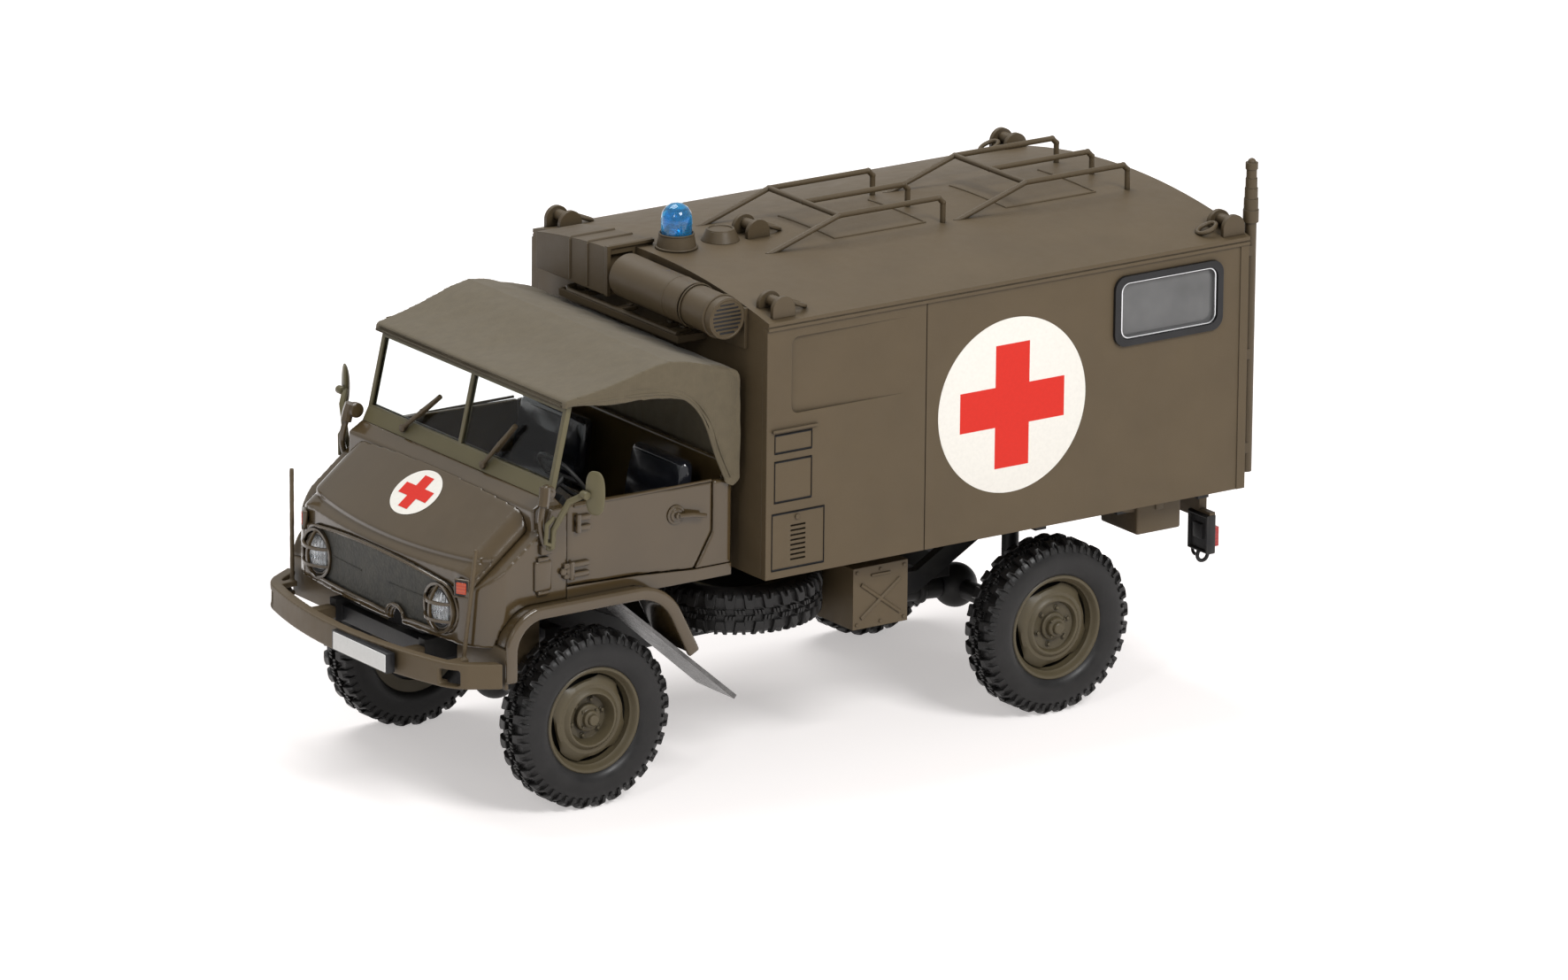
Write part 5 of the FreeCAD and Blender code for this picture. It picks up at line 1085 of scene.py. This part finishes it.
def rear_door_fittings():
    """Strap hinges, lock rods and handles of the two rear doors."""
    back = span("rear_doors")[1].x
    bm = bmesh.new()
    for z in (35.5, 50.0, 64.0):
        block(bm, (back - 0.2, -28.6, z - 0.7), (back + 0.35, -24.6, z + 0.7), 0.15)
        wire(bm, [(back + 0.4, -28.4, z - 1.1), (back + 0.4, -28.4, z + 1.1)], 0.42)
    wire(bm, [(back + 0.45, -1.6, 33.2), (back + 0.45, -1.6, 67.6)], 0.3)
    for z in (34.0, 44.0, 57.0, 66.8):
        block(bm, (back - 0.2, -2.3, z - 0.5), (back + 0.75, -0.9, z + 0.5), 0.15)
    drum(bm, (back, -4.2, 49.0), -AHEAD, 0.9, 0.5, 0.15, segments=24)
    wire(bm, [(back + 0.8, -4.2, 49.0), (back + 0.9, -4.4, 47.4), (back + 0.8, -4.5, 45.6)], 0.34)
    mirrored(bm)
    piece("rear_door_fittings", bm, BOX_PAINT)


def window_beads():
    """Thin bright beads that hold the panes in their rubber."""
    bm = bmesh.new()
    x0, x1, z0, z1, corner, pane_y = 91.7, 106.2, 59.2, 64.9, 1.35, 30.62
    for side in (LEFT, RIGHT):
        line = []
        for cx, cz, start in ((x1, z1, 0.0), (x0, z1, 0.25), (x0, z0, 0.5), (x1, z0, 0.75)):
            for step in range(7):
                angle = TURN * (start + 0.25 * step / 6)
                line.append((cx + corner * math.cos(angle), side * pane_y, cz + corner * math.sin(angle)))
        wire(bm, line, 0.13, closed=True)
    piece("window_beads", bm, BRIGHT, "window_rubber")


def chest_details():
    """Rivets and a short bar over the brace on the tool chest."""
    low, high = span("tool_chest")
    bm = bmesh.new()
    for x in (low.x + 0.7, (low.x + high.x) / 2, high.x - 0.7):
        for z in (19.9, 27.9):
            drum(bm, (x, -26.0, z), -ACROSS, 0.26, 0.16, 0.06, segments=12)
    block(bm, (low.x + 3.2, -26.25, 27.0), (high.x - 3.2, -25.95, 27.35), 0.08)
    piece("chest_rivets", bm, BOX_PAINT)


# ---------------------------------------------------------------- cloth and seats
HOOD_FRONT_X = -5.0
HOOD_RIDGE_X = 12.65
HOOD_REAR_X = 25.4
# (x, z) along the edge of the hood's side opening
HOOD_OPENING = [(-2.6, 60.95), (4.0, 60.95), (10.0, 60.8), (13.2, 60.3), (15.6, 59.1), (17.6, 57.0),
                (18.9, 54.4), (19.9, 51.4), (21.0, 48.6), (22.2, 46.2)]


def hood_side(x):
    """Half width of the hood at a length."""
    if x < HOOD_RIDGE_X:
        return 25.0 + 1.6 * (x - HOOD_FRONT_X) / (HOOD_RIDGE_X - HOOD_FRONT_X)
    return 26.6 - 0.1 * (x - HOOD_RIDGE_X) / (HOOD_REAR_X - HOOD_RIDGE_X)


def hood_drop(co):
    """How far the cloth hangs under the straight line between its hoops."""
    if co.z < 59.5:
        return 0.0
    along = (co.x - HOOD_FRONT_X) / (HOOD_RIDGE_X - HOOD_FRONT_X)
    drop = 0.5 * math.exp(-((co.x - HOOD_RIDGE_X) / 2.4) ** 2)
    if 0 < along < 1:
        drop += 0.85 * math.sin(math.pi * along) ** 1.5 * (1 - 0.5 * abs(co.y) / 26)
    return drop


def canvas_hood():
    """Stretched hood: the solid's shape as one relaxed sheet with slack between its hoops."""
    bm = relaxed_copy("canvas_roof", 0.27, 4)
    random.seed(7)
    shift = Vector((random.uniform(0, 50), random.uniform(0, 50), random.uniform(0, 50)))
    bm.normal_update()
    for vert in bm.verts:
        wave = noise.noise(vert.co / 7.0 + shift) + 0.5 * noise.noise(vert.co / 3.0 + shift)
        rear = 1.0 + 2.2 * min(1.0, max(0.0, (vert.co.x - 14.0) / 6.0))
        vert.co += vert.normal * (wave * 0.09 * rear - 0.1 * rear)
        vert.co.z -= hood_drop(vert.co)
    hood = piece("canvas_hood", bm, CANVAS, "canvas", stands_for=["canvas_roof"], angle=60)


def hood_hems():
    """Rolled hems and rows of stitches along the hood's front lip and side openings."""
    hems, stitches = bmesh.new(), bmesh.new()
    wire(hems, [(-4.9, -24.2, 61.0), (-4.9, 0, 61.02), (-4.9, 24.2, 61.0)], 0.2)
    for bm, lift, radius in ((hems, 0.35, 0.2), (stitches, 1.25, 0.1)):
        line = []
        for index, (x, z) in enumerate(HOOD_OPENING):
            share = max(0.0, min(1.0, (index - 2) / 4))
            line.append((x + lift * share, -hood_side(x) + 0.16, z + lift * (1 - 0.75 * share)))
        wire(bm, line, radius, smooth=True)
    wire(stitches, [(-4.6, -23.9, 61.5), (-4.6, 23.9, 61.5)], 0.09)
    for name, bm in (("hood_hems", hems), ("hood_seams", stitches)):
        mirrored(bm)
        piece(name, bm, CANVAS, "canvas")


def seat_back(bm, place, half, height):
    """Leaning back rest: crowned, round-shouldered, with a sewn border and channels."""
    side_seam, top_seam, seam_width = 0.72, 0.86, 0.05
    part = bmesh.new()
    block(part, (-1.15, -half, 0.0), (1.15, half, height), 1.0, 5)
    bmesh.ops.subdivide_edges(part, edges=part.edges[:], cuts=3, use_grid_fill=True)
    for vert in part.verts:
        u, w = vert.co.y / half, vert.co.z / height
        if vert.co.x < 0:
            crown = (1 - u * u) * (1 - (2 * w - 1) ** 2)
            across = math.exp(-((w - top_seam) / seam_width) ** 2) * (abs(u) < side_seam)
            seam = math.exp(-((abs(u) - side_seam) / seam_width) ** 2) + across
            vert.co.x -= 0.75 * crown - 0.42 * min(1.0, seam)
        vert.co.y *= 1.0 - 0.07 * max(0.0, w - 0.55) / 0.45
    join(bm, part, Matrix.Translation(place) @ Matrix.Rotation(math.radians(9.5), 4, "Y"))


def seat_cushion(bm, middle, half):
    """Crowned seat cushion with two sewn channels."""
    centre_x, reach = 11.1, 5.5
    part = bmesh.new()
    block(part, (centre_x - reach, middle - half, 37.2), (centre_x + reach, middle + half, 40.1), 1.2, 5)
    bmesh.ops.subdivide_edges(part, edges=part.edges[:], cuts=2, use_grid_fill=True)
    for vert in part.verts:
        u, w = (vert.co.y - middle) / half, (vert.co.x - centre_x) / reach
        if vert.co.z > 39.0:
            vert.co.z += 0.5 * (1 - u * u) * (1 - w * w) - 0.3 * math.exp(-((abs(u) - 0.7) / 0.06) ** 2)
    join(bm, part)


def dark_seats():
    """Driver's seat and the wider passenger bench on plain pedestals."""
    for word, middle, half, stands_for in (("left", -15.1, 7.1, ["seats"]), ("right", 12.4, 8.8, ())):
        bm, foot = bmesh.new(), bmesh.new()
        seat_cushion(bm, middle, half)
        seat_back(bm, (17.6, middle, 38.0), half, 10.4)
        pad = piece(f"seat_{word}_pads", bm, VINYL, "seat_vinyl", stands_for=stands_for, angle=70)
        block(foot, (6.6, middle - half + 2.0, 32.5), (17.2, middle + half - 2.0, 37.4), 0.3)
        piece(f"seat_{word}_pedestal", foot, CHASSIS, "chassis_black")


# ---------------------------------------------------------------- red cross discs
def cross_outline(reach, arm):
    """(u, v) corners of an upright cross."""
    half = arm / 2
    corners = [(half, reach), (half, half), (reach, half), (reach, -half), (half, -half), (half, -reach)]
    return corners + [(-u, -v) for u, v in corners]


def side_discs():
    """White discs with red crosses, printed on both sides of the box."""
    for side, word in SIDES:
        centre = Vector((70.82, side * BOX_SIDE, 50.79))
        out = ACROSS * side
        disc, cross = bmesh.new(), bmesh.new()
        drum(disc, centre - out * 0.05, out, 13.32, 0.11, 0.02, segments=128)
        piece("white_disc_" + word, disc, WHITE_FILM, "plate_white")
        plate(cross, [centre + Vector((u, side * 0.05, v)) for u, v in cross_outline(9.4, 6.1)], out, 0.05)
        piece("red_cross_" + word, cross, RED_FILM, "red_lens")


def laid_on(bm, tree, lift):
    """Drops the mesh onto the bonnet's skin; a ray that slips between two faces is tried beside it."""
    above, beside = 70.0, 0.01
    for vert in bm.verts:
        hit, normal, _, _ = tree.ray_cast(Vector((vert.co.x, vert.co.y, above)), -UP)
        if not hit:
            hit, normal, _, _ = tree.ray_cast(Vector((vert.co.x + beside, vert.co.y + beside, above)), -UP)
        vert.co = hit + (normal if normal.z > 0 else -normal) * lift


def bonnet_disc():
    """Disc and cross that follow the bonnet's crown."""
    tree = skin_of("bonnet")
    slope = math.cos(math.atan(0.78))
    shortened, step_length = 0.86, 0.4
    disc, cross = bmesh.new(), bmesh.new()
    bmesh.ops.create_circle(disc, cap_ends=True, segments=96, radius=4.85)
    cross.faces.new([cross.verts.new((u, v, 0)) for u, v in cross_outline(3.55, 2.3)])
    for name, bm, material, slot, lift in (("disc", disc, WHITE_FILM, "plate_white", 0.05),
                                           ("cross", cross, RED_FILM, "red_lens", 0.09)):
        for axis in (Vector((1, 0, 0)), ACROSS):
            for step in range(-12, 13):
                geom = bm.verts[:] + bm.edges[:] + bm.faces[:]
                bmesh.ops.bisect_plane(bm, geom=geom, plane_co=axis * step * step_length, plane_no=axis)
        bmesh.ops.scale(bm, verts=bm.verts, vec=(slope * shortened, 1, 1))
        bmesh.ops.translate(bm, verts=bm.verts, vec=(-13.8, 0, 0))
        laid_on(bm, tree, lift)
        bmesh.ops.recalc_face_normals(bm, faces=bm.faces)
        if sum(face.normal.z for face in bm.faces) < 0:
            bmesh.ops.reverse_faces(bm, faces=bm.faces)
        piece("bonnet_" + name, bm, material, slot)


# ---------------------------------------------------------------- lamps
# (radius, height) profiles, forwards from the lamp's rim
LENS = [(0.0, 0.5), (0.9, 0.47), (1.7, 0.33), (2.35, 0.1), (2.55, -0.15), (2.55, -0.35), (1.7, -0.3),
        (0.0, -0.25)]
BOWL = [(3.08, -0.2), (3.08, -3.6), (0.0, -3.6), (0.0, -3.0), (0.8, -2.9), (1.8, -2.2), (2.5, -1.1),
        (2.85, -0.35), (3.0, -0.1)]


def headlamps():
    """Ribbed lenses before bright bowls, each in a painted trim with a dark seat."""
    low = span("headlamps")[0]
    for side, word in SIDES:
        face = Vector((low.x, side * LAMP_Y, LAMP_Z))
        lens, bowl, trim, seat = (bmesh.new() for _ in range(4))
        lathe(lens, LENS, face - AHEAD * 0.5, AHEAD, 48)
        lathe(bowl, BOWL, face - AHEAD * 0.5, AHEAD, 48, closed=True)
        drum(bowl, face - AHEAD * 3.2, AHEAD, 0.55, 1.6, 0.2, tip=0.4, segments=16)
        hoop(trim, face - AHEAD * 0.55, AHEAD, 3.05, 0.2, 40)
        hoop(seat, face - AHEAD * 0.65, AHEAD, 2.72, 0.24, 40)
        piece("lamp_lens_" + word, lens, LAMP_GLASS, "lamp_glass", stands_for=named_once(side, "headlamps"))
        piece("lamp_bowl_" + word, bowl, BRIGHT, "lamp_glass")
        piece("lamp_trim_" + word, trim, CAB_PAINT)
        piece("lamp_seat_" + word, seat, SEAL, "window_rubber")


# ---------------------------------------------------------------- camera, floor and light
def place_camera():
    """Long lens, three-quarter view of the front and the left side."""
    yaw, pitch, roll = math.radians(-35.061), math.radians(16.70), math.radians(0.59)
    back = Vector((math.sin(yaw) * math.cos(pitch), -math.cos(yaw) * math.cos(pitch), math.sin(pitch)))
    target = PLACE @ Vector((51.395, 0.0, 33.266))
    distance = 1933.9
    data = bpy.data.cameras.new("camera")
    data.lens = 299.7
    data.sensor_width = 36.0
    data.clip_start = 0.1
    data.clip_end = 10.0
    camera = shown("camera", data)
    camera.matrix_world = facing(back, target + back * distance * MM) @ Matrix.Rotation(roll, 4, "Z")
    bpy.context.scene.camera = camera


def floor_material():
    """Pale ground that keeps the shadow and shows as white in view and in reflections."""
    finish = Finish("floor_pale", (0.86, 0.83, 0.82), 0.9)
    finish.set(Specular_IOR_Level=0.0, Emission_Strength=1.0)
    finish.set(Emission_Color=finish.mix(finish.seen_directly(), (0, 0, 0), (0.44, 0.425, 0.42)))
    return finish.material


def floor():
    bm = bmesh.new()
    bmesh.ops.create_grid(bm, x_segments=1, y_segments=1, size=3.0)
    ground = shown("studio_floor", mesh_from(bm, "studio_floor"))
    ground.data.materials.append(floor_material())


def soft_lamp(name, place, width, height, watts):
    """Rectangular lamp that faces the truck."""
    data = bpy.data.lights.new(name, "AREA")
    data.shape = "RECTANGLE"
    data.size = width
    data.size_y = height
    data.energy = watts
    aim = Vector((0, 0, 0.03))
    shown(name, data).matrix_world = facing(Vector(place) - aim, place)


def studio():
    """White surroundings, dimmer as a light than they look, and three soft lamps."""
    world = bpy.data.worlds.new("studio")
    bpy.context.scene.world = world
    graph = Graph(world)
    background = graph.tree.nodes["Background"].inputs
    graph.feed(background["Color"], (1, 1, 1, 1))
    level = graph.node("MapRange", None, {"Value": graph.seen_directly(), "To Min": 0.3, "To Max": 0.6})
    graph.feed(background["Strength"], level)
    soft_lamp("key", (0.10, -1.0, 0.9), 0.5, 0.5, 10.5)
    soft_lamp("top", (0.0, 0.4, 0.95), 0.6, 0.6, 5.5)
    soft_lamp("glint", (-1.0, -0.7, 0.75), 0.14, 0.45, 1.8)
    bpy.context.scene.view_settings.view_transform = "Standard"


for make in (place_camera, dress_kept_nodes, wheels, body_work, grille_trim, indicators, number_plate,
             wipers, screen_pivots, screen_rails, mirror_arms, door_fittings, aprons, roof_pressings,
             lug_rings, cap_rings, beacon, heater_trim, shelf_rail, housing_ribs, cover_seams,
             tail_fittings, drive_line, rear_door_fittings, window_beads, chest_details, canvas_hood,
             hood_hems, dark_seats, side_discs, bonnet_disc, headlamps, floor, studio):
    make()
